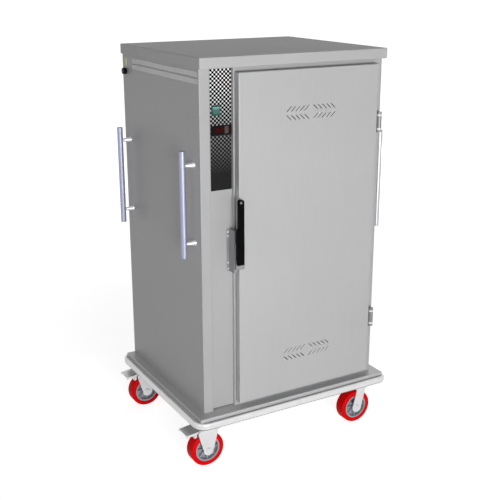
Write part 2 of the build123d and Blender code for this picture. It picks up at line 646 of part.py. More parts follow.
def make_keeper():
    """Make the keeper on the fascia beside the door, and its screws."""
    body_right = JAMB_EDGE - KEEPER_SIDE_GAP
    face = FASCIA_FRONT - KEEPER_FLANGE
    top = KEEPER_BOTTOM + KEEPER_HEIGHT
    flange = block(KEEPER_FLANGE_LEFT, body_right, face, FASCIA_FRONT, KEEPER_BOTTOM, top)
    corners = flange.edges().filter_by(Axis.Y).group_by(Axis.X)[0]
    keeper = fillet(corners, KEEPER_CORNER)
    keeper += block(KEEPER_BODY_LEFT, body_right, DOOR_FACE + KEEPER_FRONT_GAP, face, KEEPER_BOTTOM, top)
    screws = []
    for x, z in keeper_screw_places():
        keeper -= rod_y(x, face - 1, FASCIA_FRONT + 1, z, KEEPER_SCREW_RADIUS + RUNNING_FIT)
        screw = rod_y(x, face - KEEPER_SCREW_HEAD, face, z, KEEPER_SCREW_HEAD_RADIUS)
        screw += rod_y(x, face, face + KEEPER_SCREW_LENGTH, z, KEEPER_SCREW_RADIUS)
        screws.append(screw)
    save("latch_keeper", keeper)
    save("keeper_screws", *screws)


def make_fascia():
    """Make the recessed control fascia with its cut-outs and screw holes."""
    controller_right = JAMB_EDGE - KEEPER_SIDE_GAP
    controller_left = controller_right - CONTROLLER_WIDTH
    controller_z = BODY_TOP - CONTROLLER_CENTRE_DROP
    half = CONTROLLER_HEIGHT / 2 - CONTROLLER_LIP
    before = FASCIA_FRONT - 1
    behind = FASCIA_BACK + 1
    fascia = block(LEFT + POST_WIDTH - FASCIA_TUCK, JAMB_EDGE + FASCIA_TUCK, FASCIA_FRONT, FASCIA_BACK,
                   PLATFORM_TOP + FASCIA_END_GAP, BODY_TOP - FASCIA_END_GAP)
    fascia -= block(controller_left + CONTROLLER_LIP, controller_right - CONTROLLER_LIP,
                    before, behind, controller_z - half, controller_z + half)
    hole = SWITCH_HOUSING_SIDE / 2 + RUNNING_FIT
    switch_z = BODY_TOP - SWITCH_CENTRE_DROP
    fascia -= block(SWITCH_X - hole, SWITCH_X + hole, before, behind, switch_z - hole, switch_z + hole)
    for x, z in keeper_screw_places():
        fascia -= rod_y(x, before, behind, z, KEEPER_SCREW_RADIUS + RUNNING_FIT)
    save("fascia_panel", fascia)


def make_controller():
    """Make the temperature controller and the key that presses into its face."""
    right = JAMB_EDGE - KEEPER_SIDE_GAP
    left = right - CONTROLLER_WIDTH
    middle = BODY_TOP - CONTROLLER_CENTRE_DROP
    low = middle - CONTROLLER_HEIGHT / 2
    high = middle + CONTROLLER_HEIGHT / 2
    lip = CONTROLLER_LIP
    face = FASCIA_FRONT - CONTROLLER_BEZEL
    body = block(left, right, face, FASCIA_FRONT, low, high)
    body += block(left + lip, right - lip, FASCIA_FRONT, FASCIA_FRONT + CONTROLLER_DEPTH,
                  low + lip, high - lip)
    key_z = middle + KEY_RISE
    key_back = face + KEY_PROUD
    well_x = KEY_WIDTH / 2 + KEY_CLEARANCE
    well_z = KEY_HEIGHT / 2 + KEY_CLEARANCE
    body -= block(KEY_X - well_x, KEY_X + well_x, face - 1, key_back + KEY_TRAVEL + FACE_GAP,
                  key_z - well_z, key_z + well_z)
    save("controller_body", body)
    key = block(KEY_X - KEY_WIDTH / 2, KEY_X + KEY_WIDTH / 2, face - KEY_PROUD, key_back,
                key_z - KEY_HEIGHT / 2, key_z + KEY_HEIGHT / 2)
    save("controller_key", fillet(key.edges().filter_by(Axis.Y), KEY_WIDTH / 3))


def make_switch():
    """Make the square switch: a bezel with its housing and a rocker on a cross pin."""
    z = BODY_TOP - SWITCH_CENTRE_DROP
    half = SWITCH_SIDE / 2
    housing_half = SWITCH_HOUSING_SIDE / 2
    face = FASCIA_FRONT - SWITCH_BEZEL
    pivot = face + SWITCH_PIVOT_SINK
    well_x = ROCKER_WIDTH / 2 + FACE_GAP
    well = ROCKER_RADIUS + FACE_GAP
    bezel = block(SWITCH_X - half, SWITCH_X + half, face, FASCIA_FRONT, z - half, z + half)
    bezel = fillet(bezel.edges().filter_by(Axis.Y), SWITCH_CORNER)
    bezel += block(SWITCH_X - housing_half, SWITCH_X + housing_half, FASCIA_FRONT,
                   FASCIA_FRONT + SWITCH_HOUSING_DEPTH, z - housing_half, z + housing_half)
    bezel -= block(SWITCH_X - well_x, SWITCH_X + well_x, face - 1, pivot + well, z - well, z + well)
    pin_end = SWITCH_PIN_HALF + FACE_GAP
    bezel -= rod_x(SWITCH_X - pin_end, SWITCH_X + pin_end, pivot, z, SWITCH_PIN_RADIUS + RUNNING_FIT)
    save("switch_bezel", bezel)

    middle = -SWITCH_PIVOT_SINK - ROCKER_PROUD
    end = middle - ROCKER_RADIUS * tan(radians(ROCKER_TILT))
    outline = [(ROCKER_BACK, -ROCKER_RADIUS), (end, -ROCKER_RADIUS), (middle, 0),
               (end, ROCKER_RADIUS), (ROCKER_BACK, ROCKER_RADIUS)]
    rocker = plate_yz(outline, -ROCKER_WIDTH / 2, ROCKER_WIDTH / 2)
    rocker &= rod_x(-ROCKER_WIDTH, ROCKER_WIDTH, 0, 0, ROCKER_RADIUS)
    rocker += rod_x(-SWITCH_PIN_HALF, SWITCH_PIN_HALF, 0, 0, SWITCH_PIN_RADIUS)
    save("switch_rocker", Pos(SWITCH_X, pivot, z) * Rot(-ROCKER_TILT, 0, 0) * rocker)


def make_gland():
    """Make the power inlet gland high at the rear of the control side."""
    z = BODY_TOP - GLAND_DROP
    tip = LEFT - GLAND_LENGTH
    gland = rod_x(tip, LEFT, GLAND_Y, z, GLAND_RADIUS)
    gland = fillet(gland.edges().group_by(Axis.X)[0], GLAND_EDGE)
    gland += rod_x(LEFT, LEFT + GLAND_THREAD_LENGTH, GLAND_Y, z, GLAND_THREAD_RADIUS)
    gland -= rod_x(tip - 1, LEFT + GLAND_THREAD_LENGTH + 1, GLAND_Y, z, GLAND_BORE)
    save("power_gland", gland)


def make_push_bars():
    """Make the four upright push bars and their eight cone standoffs."""
    middle = BODY_TOP - BAR_CENTRE_DROP
    cone_length = BAR_OFFSET - BAR_RADIUS
    sink = STANDOFF_SINK - RUNNING_FIT
    cone = Cone(STANDOFF_BASE_RADIUS, STANDOFF_TIP_RADIUS, cone_length)
    standoff = Pos(0, 0, cone_length / 2) * cone
    standoff += rod_z(0, 0, cone_length, cone_length + sink, STANDOFF_TIP_RADIUS)
    socket = rod_z(0, 0, 0, cone_length + STANDOFF_SINK, STANDOFF_TIP_RADIUS + RUNNING_FIT)
    standoffs = []
    for side, name in ((-1, "left"), (1, "right")):
        bars = []
        for y in (-BAR_Y, BAR_Y):
            bar = rod_z(side * (BODY_WIDTH / 2 + BAR_OFFSET), y,
                        middle - BAR_LENGTH / 2, middle + BAR_LENGTH / 2, BAR_RADIUS)
            bar = chamfer(bar.edges().filter_by(GeomType.CIRCLE), BAR_EDGE)
            for z in (middle - STANDOFF_SPACING / 2, middle + STANDOFF_SPACING / 2):
                place = Pos(side * BODY_WIDTH / 2, y, z) * Rot(0, side * 90, 0)
                bar -= place * socket
                standoffs.append(place * standoff)
            bars.append(bar)
        save("push_bars_" + name, *bars)
    save("push_bar_standoffs", *standoffs)


def make_chassis():
    """Make the channel frame with two cross members and four castor pads."""
    wall = CHASSIS_WALL
    bottom = CASTOR_HEIGHT
    inner_x = CHASSIS_X - CHASSIS_WIDTH
    inner_front = CHASSIS_FRONT + CHASSIS_WIDTH
    inner_rear = CHASSIS_REAR - CHASSIS_WIDTH
    web_x = CHASSIS_X - wall
    web_front = CHASSIS_FRONT + wall
    web_rear = CHASSIS_REAR - wall
    frame = block(-CHASSIS_X, CHASSIS_X, CHASSIS_FRONT, CHASSIS_REAR, bottom, CHASSIS_TOP)
    frame -= block(-inner_x, inner_x, inner_front, inner_rear, bottom - 1, CHASSIS_TOP + 1)
    frame -= block(-web_x, web_x, web_front, web_rear, bottom + wall, CHASSIS_TOP - wall)
    half = CHASSIS_WIDTH / 2
    for x in (-CHASSIS_CROSS_X, CHASSIS_CROSS_X):
        cross = block(x - half, x + half, web_front, web_rear, bottom, CHASSIS_TOP)
        cross -= block(x - half + wall, x + half - wall, web_front - 1, web_rear + 1,
                       bottom - 1, CHASSIS_TOP - wall)
        frame += cross
    for x, y in CASTOR_PLACES.values():
        x0 = max(x - CASTOR_PAD_HALF_X, -web_x)
        x1 = min(x + CASTOR_PAD_HALF_X, web_x)
        y0 = max(y - CASTOR_PAD_HALF_Y, web_front)
        y1 = min(y + CASTOR_PAD_HALF_Y, web_rear)
        frame += block(x0, x1, y0, y1, bottom, bottom + CASTOR_PAD)
    for x, y in bolt_places():
        frame -= rod_z(x, y, bottom - 1, bottom + CASTOR_PAD + 1, BOLT_HOLE_RADIUS)
    save("chassis_frame", frame)


def make_tray():
    """Make the platform tray that the cabinet stands on."""
    low = PLATFORM_TOP - TRAY_LIP
    tray = block(-TRAY_X, TRAY_X, TRAY_FRONT, REAR, low, PLATFORM_TOP)
    tray -= block(-TRAY_X + TRAY_SHEET, TRAY_X - TRAY_SHEET, TRAY_FRONT + TRAY_SHEET,
                  REAR - TRAY_SHEET, low - 1, CHASSIS_TOP)
    save("platform_tray", tray)


def bumper_face(out):
    """Return the bumper section in X and Z, with its outermost point at X = out."""
    rail_z = PLATFORM_TOP - BUMPER_CENTRE_DROP
    tail_z = PLATFORM_TOP - BUMPER_TAIL_DROP
    tail_depth = BUMPER_STAND_OFF + TRAY_SHEET + CHASSIS_GAP + BUMPER_THICKNESS / 2
    rail = Pos(out - BUMPER_THICKNESS / 2, rail_z) * RectangleRounded(
        BUMPER_THICKNESS, BUMPER_HEIGHT, BUMPER_ROUND)
    tail_x = out - BUMPER_THICKNESS / 2 - tail_depth / 2
    tail = Pos(tail_x, tail_z) * Rectangle(tail_depth, BUMPER_TAIL_HEIGHT)
    return Plane.XZ * (rail + tail)


def make_bumper():
    """Make the four bumper strips and the four rounded corner pieces."""
    out_x = TRAY_X + BUMPER_OUT
    out_front = TRAY_FRONT - BUMPER_OUT
    out_rear = REAR + BUMPER_OUT
    straight_x = out_x - BUMPER_CORNER
    straight_front = out_front + BUMPER_CORNER
    straight_rear = out_rear - BUMPER_CORNER
    half_x = straight_x - BUMPER_JOINT / 2
    half_y = (straight_rear - straight_front - BUMPER_JOINT) / 2
    middle_y = (straight_front + straight_rear) / 2
    half_depth = (out_rear - out_front) / 2
    along_y = extrude(bumper_face(out_x), half_y, both=True)
    along_x = extrude(bumper_face(half_depth), half_x, both=True)
    strips = [
        Pos(0, middle_y, 0) * along_y,
        Pos(0, middle_y, 0) * Rot(0, 0, 180) * along_y,
        Pos(0, middle_y, 0) * Rot(0, 0, 90) * along_x,
        Pos(0, middle_y, 0) * Rot(0, 0, -90) * along_x,
    ]
    save("bumper_strips", *strips)

    quarter = revolve(bumper_face(BUMPER_CORNER), Axis.Z, 90)
    inside = block(-CHASSIS_X, CHASSIS_X, CHASSIS_FRONT, CHASSIS_REAR, CASTOR_HEIGHT, CHASSIS_TOP)
    gap = CHASSIS_GAP
    inside += block(-TRAY_X - gap, TRAY_X + gap, TRAY_FRONT - gap, REAR + gap,
                    PLATFORM_TOP - TRAY_LIP - gap, PLATFORM_TOP)
    corners = []
    places = ((straight_x, straight_rear, 0), (-straight_x, straight_rear, 90),
              (-straight_x, straight_front, 180), (straight_x, straight_front, 270))
    for x, y, turn in places:
        corners.append(Pos(x, y, 0) * Rot(0, 0, turn) * quarter - inside)
    save("bumper_corners", *corners)


def bolt_places():
    """Return the X and Y of the sixteen castor bolts."""
    return [(x + side_x * BOLT_HALF_X, y + side_y * BOLT_HALF_Y)
            for x, y in CASTOR_PLACES.values() for side_x in (-1, 1) for side_y in (-1, 1)]


def make_castor_plates():
    """Make the four top plates with raceway and kingpin, and their bolts with nuts."""
    plate = block(-PLATE_X / 2, PLATE_X / 2, -PLATE_Y / 2, PLATE_Y / 2, PLATE_BOTTOM, CASTOR_HEIGHT)
    plate += rod_z(0, 0, RACE_BOTTOM, PLATE_BOTTOM, RACE_RADIUS)
    head_top = FORK_CROWN_BOTTOM - FACE_GAP
    plate += rod_z(0, 0, head_top, RACE_BOTTOM, KINGPIN_RADIUS)
    plate += rod_z(0, 0, head_top - KINGPIN_HEAD, head_top, KINGPIN_HEAD_RADIUS)
    for side_x in (-1, 1):
        for side_y in (-1, 1):
            plate -= rod_z(side_x * BOLT_HALF_X, side_y * BOLT_HALF_Y, PLATE_BOTTOM - 1,
                           CASTOR_HEIGHT + 1, BOLT_HOLE_RADIUS)
    save("castor_plates", *[Pos(x, y, 0) * plate for x, y in CASTOR_PLACES.values()])

    nut_bottom = CASTOR_HEIGHT + CASTOR_PAD
    bolts = []
    for x, y in bolt_places():
        bolt = hexagon_z(x, y, PLATE_BOTTOM - BOLT_HEAD, PLATE_BOTTOM, BOLT_HEX_RADIUS)
        bolt += rod_z(x, y, PLATE_BOTTOM, nut_bottom + BOLT_NUT, BOLT_RADIUS)
        bolt += hexagon_z(x, y, nut_bottom, nut_bottom + BOLT_NUT, BOLT_HEX_RADIUS)
        bolts.append(bolt)
    save("castor_bolts", *bolts)


def fork(braked):
    """Return one fork about its own head axis, trailing towards -X."""
    half = FORK_LEG_WIDTH / 2
    cap_top = RACE_BOTTOM - FACE_GAP
    body = block(-FORK_CROWN_HALF, FORK_CROWN_HALF, -FORK_OUTER, FORK_OUTER,
                 FORK_CROWN_BOTTOM, FORK_CROWN_TOP)
    body += rod_z(0, 0, FORK_CROWN_TOP, cap_top, FORK_CAP_RADIUS)
    leg_outline = [(-half, FORK_CROWN_TOP), (half, FORK_CROWN_TOP),
                   (half - CASTOR_TRAIL, WHEEL_RADIUS), (-half - CASTOR_TRAIL, WHEEL_RADIUS)]
    ear_outline = [(EAR_START_X, EAR_TOP_Z), (EAR_END_X + EAR_CHAMFER, EAR_TOP_Z),
                   (EAR_END_X, EAR_TOP_Z - EAR_CHAMFER), (EAR_END_X, EAR_BOTTOM_Z),
                   (EAR_FOOT_X, EAR_FOOT_Z), (-CASTOR_TRAIL, EAR_FOOT_Z)]
    for y0 in (-FORK_OUTER, FORK_OUTER - FORK_SHEET):
        y1 = y0 + FORK_SHEET
        body += plate_xz(leg_outline, y0, y1)
        body += rod_y(-CASTOR_TRAIL, y0, y1, WHEEL_RADIUS, half)
        if braked:
            body += plate_xz(ear_outline, y0, y1)
    body -= rod_z(0, 0, FORK_CROWN_BOTTOM - 1, cap_top + 1, KINGPIN_RADIUS + RUNNING_FIT)
    body -= rod_y(-CASTOR_TRAIL, -FORK_OUTER - 1, FORK_OUTER + 1, WHEEL_RADIUS,
                  AXLE_RADIUS + RUNNING_FIT)
    if braked:
        body -= rod_y(PEDAL_PIVOT_X, -FORK_OUTER - 1, FORK_OUTER + 1, PEDAL_PIVOT_Z,
                      PEDAL_PIN_RADIUS + RUNNING_FIT)
    return body


def pedal_height(x):
    """Return the height of the pedal plate's top at a distance from the castor head."""
    slope = (PEDAL_END_Z - PEDAL_START_Z) / (PEDAL_END_X - PEDAL_START_X)
    return PEDAL_START_Z + slope * (x - PEDAL_START_X)


def brake_pedal():
    """Return one brake pedal: plate, side flanges, cheeks, pin and tyre shoe."""
    def strip(x0, x1, drop, y0, y1):
        return plate_xz([(x0, pedal_height(x0)), (x1, pedal_height(x1)),
                         (x1, pedal_height(x1) - drop), (x0, pedal_height(x0) - drop)], y0, y1)

    half = PEDAL_HALF_WIDTH
    pedal = strip(PEDAL_START_X, PEDAL_END_X, PEDAL_SHEET, -half, half)
    cheek_outer = FORK_GAP / 2 - PEDAL_CHEEK_GAP
    radius = PEDAL_CHEEK_RADIUS
    for side in (-1, 1):
        y0, y1 = sorted((side * half, side * (half - PEDAL_SHEET)))
        pedal += strip(PEDAL_FLANGE_START_X, PEDAL_END_X, PEDAL_FLANGE_DROP, y0, y1)
        y0, y1 = sorted((side * cheek_outer, side * (cheek_outer - PEDAL_SHEET)))
        pedal += rod_y(PEDAL_PIVOT_X, y0, y1, PEDAL_PIVOT_Z, radius)
        pedal += plate_xz([(PEDAL_PIVOT_X + radius, PEDAL_PIVOT_Z),
                           (PEDAL_PIVOT_X + radius, pedal_height(PEDAL_PIVOT_X + radius) - 1),
                           (PEDAL_PIVOT_X - radius, pedal_height(PEDAL_PIVOT_X - radius) - 1),
                           (PEDAL_PIVOT_X - radius, PEDAL_PIVOT_Z)], y0, y1)
    pedal += rod_y(PEDAL_PIVOT_X, -FORK_OUTER, FORK_OUTER, PEDAL_PIVOT_Z, PEDAL_PIN_RADIUS)

    back = radians(-PEDAL_TRAVEL)
    reach = WHEEL_RADIUS + PEDAL_SHOE_GAP
    sole = []
    for angle in PEDAL_SHOE_ANGLES:
        x = reach * cos(radians(angle)) - CASTOR_TRAIL - PEDAL_PIVOT_X
        z = reach * sin(radians(angle)) + WHEEL_RADIUS - PEDAL_PIVOT_Z
        sole.append((PEDAL_PIVOT_X + x * cos(back) - z * sin(back),
                     PEDAL_PIVOT_Z + x * sin(back) + z * cos(back)))
    first, last = sole[0][0], sole[-1][0]
    shoe = [(first, pedal_height(first) - 1)] + sole + [(last, pedal_height(last) - 1)]
    pedal += plate_xz(shoe, -PEDAL_SHOE_HALF_WIDTH, PEDAL_SHOE_HALF_WIDTH)
    return pedal


def axle():
    """Return one axle with its hexagonal head and nut, about the castor head."""
    outer = FORK_OUTER + AXLE_HEX_LENGTH
    body = rod_y(-CASTOR_TRAIL, -FORK_OUTER, FORK_OUTER, WHEEL_RADIUS, AXLE_RADIUS)
    body += hexagon_y(-CASTOR_TRAIL, -outer, -FORK_OUTER, WHEEL_RADIUS, AXLE_HEX_RADIUS)
    body += hexagon_y(-CASTOR_TRAIL, FORK_OUTER, outer, WHEEL_RADIUS, AXLE_HEX_RADIUS)
    return body


def wheel_centre():
    """Return one wheel centre about its own axis: rim, web, ribs and hub."""
    half = RIM_WIDTH / 2
    body = rod_y(0, -half, half, 0, RIM_RADIUS)
    body -= rod_y(0, -half - 1, half + 1, 0, RIM_INNER_RADIUS)
    body += rod_y(0, -WEB_THICKNESS / 2, WEB_THICKNESS / 2, 0, RIM_INNER_RADIUS)
    body += rod_y(0, -HUB_LENGTH / 2, HUB_LENGTH / 2, 0, HUB_RADIUS)
    rib = block(-RIB_THICKNESS / 2, RIB_THICKNESS / 2, -RIB_WIDTH / 2, RIB_WIDTH / 2,
                0, RIM_INNER_RADIUS + 1)
    for index in range(RIB_COUNT):
        body += Rot(0, index * 360 / RIB_COUNT, 0) * rib
    body -= rod_y(0, -HUB_LENGTH, HUB_LENGTH, 0, AXLE_RADIUS + RUNNING_FIT)
    return body


def tyre():
    """Return one tyre about its own axis, with rounded shoulders."""
    body = rod_y(0, -TYRE_WIDTH / 2, TYRE_WIDTH / 2, 0, WHEEL_RADIUS)
    body = fillet(body.edges().filter_by(GeomType.CIRCLE), TYRE_ROUND)
    body -= rod_y(0, -TYRE_WIDTH, TYRE_WIDTH, 0, RIM_RADIUS + BOND_GAP)
    return body


def make_castors():
    """Place a fork, an axle, a wheel centre and a tyre at each corner, and two pedals."""
    plain_fork, braked_fork = fork(False), fork(True)
    shaft, centre, tread, pedal = axle(), wheel_centre(), tyre(), brake_pedal()
    for name, (x, y) in CASTOR_PLACES.items():
        head = Pos(x, y, 0)
        wheel = Pos(x - CASTOR_TRAIL, y, WHEEL_RADIUS)
        braked = name.endswith("left")
        save("fork_" + name, head * (braked_fork if braked else plain_fork))
        save("axle_" + name, head * shaft)
        save("wheel_centre_" + name, wheel * centre)
        save("tyre_" + name, wheel * tread)
        if braked:
            save("brake_pedal_" + name, head * pedal)


def ledge_height(index):
    """Return the top of one rack ledge."""
    return CAVITY_BOTTOM + LEDGE_FIRST_RISE + index * LEDGE_PITCH


def make_racks_and_shelves():
    """Make the two upright racks with their ledges and the wire shelves on them."""
    y0 = CAVITY_FRONT + RACK_FRONT_INSET
    y1 = CAVITY_REAR - RACK_REAR_INSET
    top = CAVITY_TOP - RACK_TOP_GAP
    left_wall = OPENING_LEFT + RACK_STAND_OFF
    right_wall = OPENING_RIGHT
    racks = []
    for wall, side in ((left_wall, 1), (right_wall, -1)):
        post_x = sorted((wall, wall + side * RACK_POST))
        ledge_x = sorted((wall, wall + side * LEDGE_WIDTH))
        rack = block(*post_x, y0, y0 + RACK_POST, CAVITY_BOTTOM, top)
        rack += block(*post_x, y1 - RACK_POST, y1, CAVITY_BOTTOM, top)
        for index in range(LEDGE_COUNT):
            z = ledge_height(index)
            rack += block(*ledge_x, y0, y1, z - LEDGE_THICKNESS, z)
        racks.append(rack)
    save("shelf_racks", *racks)

    frame_r = SHELF_FRAME_RADIUS
    wire_r = SHELF_WIRE_RADIUS
    x0 = left_wall + RACK_POST + SHELF_SIDE_GAP + frame_r
    x1 = right_wall - RACK_POST - SHELF_SIDE_GAP - frame_r
    front = y0 + frame_r
    rear = y1 - frame_r
    shelf = rod_x(x0 - frame_r, x1 + frame_r, front, 0, frame_r)
    shelf += rod_x(x0 - frame_r, x1 + frame_r, rear, 0, frame_r)
    shelf += rod_y(x0, front, rear, 0, frame_r) + rod_y(x1, front, rear, 0, frame_r)
    for index in range(1, SHELF_WIRE_COUNT + 1):
        x = x0 + (x1 - x0) * index / (SHELF_WIRE_COUNT + 1)
        shelf += rod_y(x, front, rear, 0, wire_r)
    heights = [ledge_height(index) + frame_r + FACE_GAP for index in SHELF_LEDGES]
    save("wire_shelves", *[Pos(0, 0, z) * shelf for z in heights])


def make_fan_and_heater():
    """Make the fan motor, the impeller on its shaft, the heater and the air baffle."""
    motor_face = JAMB_EDGE - MOTOR_FLANGE
    motor_end = motor_face - MOTOR_LENGTH
    shaft_end = motor_face - FAN_SHAFT_SINK
    motor = rod_x(motor_end, motor_face, 0, FAN_Z, MOTOR_RADIUS)
    motor += rod_x(motor_face, JAMB_EDGE, 0, FAN_Z, MOTOR_FLANGE_RADIUS)
    motor -= rod_x(shaft_end - FACE_GAP, 0, 0, FAN_Z, FAN_SHAFT_RADIUS + RUNNING_FIT)
    save("fan_motor", motor)

    disc = OPENING_LEFT + FAN_START
    rim = disc + FAN_DEPTH
    fan = rod_x(disc, disc + FAN_DISC, 0, FAN_Z, FAN_RADIUS)
    fan += rod_x(disc, rim, 0, FAN_Z, FAN_HUB_RADIUS)
    half = FAN_BLADE_THICKNESS / 2
    blade = block(disc, rim, -half, half, FAN_BLADE_INNER, FAN_RADIUS - half)
    for index in range(FAN_BLADES):
        fan += Pos(0, 0, FAN_Z) * Rot(index * 360 / FAN_BLADES, 0, 0) * blade
    fan += rod_x(shaft_end, disc, 0, FAN_Z, FAN_SHAFT_RADIUS)
    save("fan_impeller", fan)

    ring = Pos(HEATER_X, 0, FAN_Z) * Rot(0, 90, 0) * Torus(HEATER_RADIUS, HEATER_TUBE_RADIUS)
    for y in (-HEATER_LEG_HALF, HEATER_LEG_HALF):
        ring += rod_x(HEATER_LEG_END, HEATER_X + HEATER_LEG_RADIUS, y, HEATER_LEG_Z, HEATER_LEG_RADIUS)
    save("heating_element", ring)

    face = OPENING_LEFT + BAFFLE_STAND_OFF
    low = FAN_Z - BAFFLE_BELOW
    high = FAN_Z + BAFFLE_ABOVE
    width = BAFFLE_HALF_WIDTH
    baffle = block(face, face + SHEET, -width, width, low, high)
    for y0 in (-width, width - SHEET):
        baffle += block(OPENING_LEFT, face, y0, y0 + SHEET, low, high)
    middle = (BAFFLE_SLOT_COUNT - 1) / 2
    for index in range(BAFFLE_SLOT_COUNT):
        z = FAN_Z + (index - middle) * BAFFLE_SLOT_PITCH
        baffle -= block(face - 1, face + SHEET + 1, -BAFFLE_SLOT_LENGTH / 2, BAFFLE_SLOT_LENGTH / 2,
                        z - BAFFLE_SLOT / 2, z + BAFFLE_SLOT / 2)
    save("air_baffle", baffle)


os.makedirs("parts", exist_ok=True)
make_chassis()
make_tray()
make_bumper()
make_castor_plates()
make_castors()
make_side_panels()
make_back_and_lid()
make_front_frame()
make_liner_and_insulation()
make_racks_and_shelves()
make_fan_and_heater()
make_door()
make_hinges()
make_latch()
make_keeper()
make_fascia()
make_controller()
make_switch()
make_gland()
make_push_bars()
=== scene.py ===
"""Finishes and fine parts for a heated banquet cart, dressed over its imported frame.

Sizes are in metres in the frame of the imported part: the floor is Z = 0, the door faces -Y
and the control column stands on the -X side.
"""
import logging
import math
from dataclasses import dataclass
from enum import Enum
from itertools import product
from typing import Any, Callable, Iterable, Optional, Sequence, Union

import bmesh
import bpy
from mathutils import Matrix, Vector


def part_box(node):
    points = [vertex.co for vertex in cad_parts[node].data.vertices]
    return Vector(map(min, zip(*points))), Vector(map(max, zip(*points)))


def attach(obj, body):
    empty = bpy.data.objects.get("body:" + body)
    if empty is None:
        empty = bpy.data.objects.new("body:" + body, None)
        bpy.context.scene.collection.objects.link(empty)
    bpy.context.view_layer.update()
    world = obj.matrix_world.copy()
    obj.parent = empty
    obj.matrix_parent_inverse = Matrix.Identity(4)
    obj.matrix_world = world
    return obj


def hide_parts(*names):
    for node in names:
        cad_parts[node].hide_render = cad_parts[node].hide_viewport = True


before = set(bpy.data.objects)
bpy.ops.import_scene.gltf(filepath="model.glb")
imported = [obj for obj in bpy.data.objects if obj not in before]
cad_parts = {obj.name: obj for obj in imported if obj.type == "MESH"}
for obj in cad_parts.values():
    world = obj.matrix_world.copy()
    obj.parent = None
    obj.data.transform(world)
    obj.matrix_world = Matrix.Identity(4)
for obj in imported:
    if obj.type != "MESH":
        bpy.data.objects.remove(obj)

log = logging.getLogger("banquet_cart")

Colour = tuple[float, float, float]
Number = Union["Signal", float, int]
MM = 0.001
CABINET_MIDDLE = (10.5, 20.25)
SIDE_FACE, FASCIA_FACE, DOOR_FACE = -350.0, -290.0, -330.0
LEVEL = Vector((0, 0, 0))
TO_LEFT, TO_FRONT = Vector((-1, 0, 0)), Vector((0, -1, 0))


def place(x: float, y: float, z: float) -> Vector:
    """Return the point x, y, z millimetres right of, behind and above the cabinet's middle."""
    return Vector(((x + CABINET_MIDDLE[0]) * MM, (y + CABINET_MIDDLE[1]) * MM, z * MM))


def linear(level: float) -> float:
    """Return the linear value of a display grey level from 0 to 255."""
    share = level / 255.0
    return share / 12.92 if share <= 0.04045 else ((share + 0.055) / 1.055) ** 2.4


def shade_of(red: float, green: float, blue: float) -> Colour:
    """Return a linear colour from display levels from 0 to 255."""
    return linear(red), linear(green), linear(blue)


def grey(level: float, cool: float = 1.0) -> Colour:
    """Return a linear grey from a display level, with a little more blue."""
    return shade_of(level, level, level + cool)


class Grain(Enum):
    """The direction that the scratches of a brushed sheet run in."""

    ALONG_X = (9.0, 1100.0, 1100.0)
    ALONG_Z = (1100.0, 1100.0, 9.0)


def worked(operation: str, swapped: bool = False) -> Callable[..., "Signal"]:
    """Return a method of Signal that works two values with one Math node.

    Args:
        operation: The Math node's operation.
        swapped: Whether the other value comes first.

    Returns:
        The method.
    """
    def method(self: "Signal", other: Number = 0.0) -> "Signal":
        """Return the worked value."""
        first, second = (other, self) if swapped else (self, other)
        return self.math(operation, first, second)

    return method


class Signal:
    """A number or colour that varies over a surface, worked with plain operators.

    The remainder is never negative. floor gives the whole number below, above gives 1 over a
    limit and 0 elsewhere, and or_more gives the larger of two values.
    """

    def __init__(self, kit: "NodeKit", socket: bpy.types.NodeSocket) -> None:
        """Wrap one output socket of a node tree."""
        self.kit = kit
        self.socket = socket

    def math(self, operation: str, first: Number, second: Number = 0.0,
             clamp: bool = False) -> "Signal":
        """Return a Math node's result, held between 0 and 1 where clamp is set."""
        return self.kit.add("ShaderNodeMath", {"operation": operation, "use_clamp": clamp},
                            {0: first, 1: second})

    __add__, __radd__ = worked("ADD"), worked("ADD", True)
    __sub__, __rsub__ = worked("SUBTRACT"), worked("SUBTRACT", True)
    __mul__, __truediv__, __mod__ = worked("MULTIPLY"), worked("DIVIDE"), worked("FLOORED_MODULO")
    floor, above, or_more = worked("FLOOR"), worked("GREATER_THAN"), worked("MAXIMUM")

    def within(self, half: float) -> "Signal":
        """Return 1 where the value is nearer to 0 than half, and 0 elsewhere."""
        return 1 - self.or_more(0 - self).above(half)

    def between(self, low: float, high: float) -> "Signal":
        """Return a ramp that is 0 below low and 1 above high, held at both ends."""
        return self.math("MULTIPLY", self - low, 1.0 / (high - low), clamp=True)


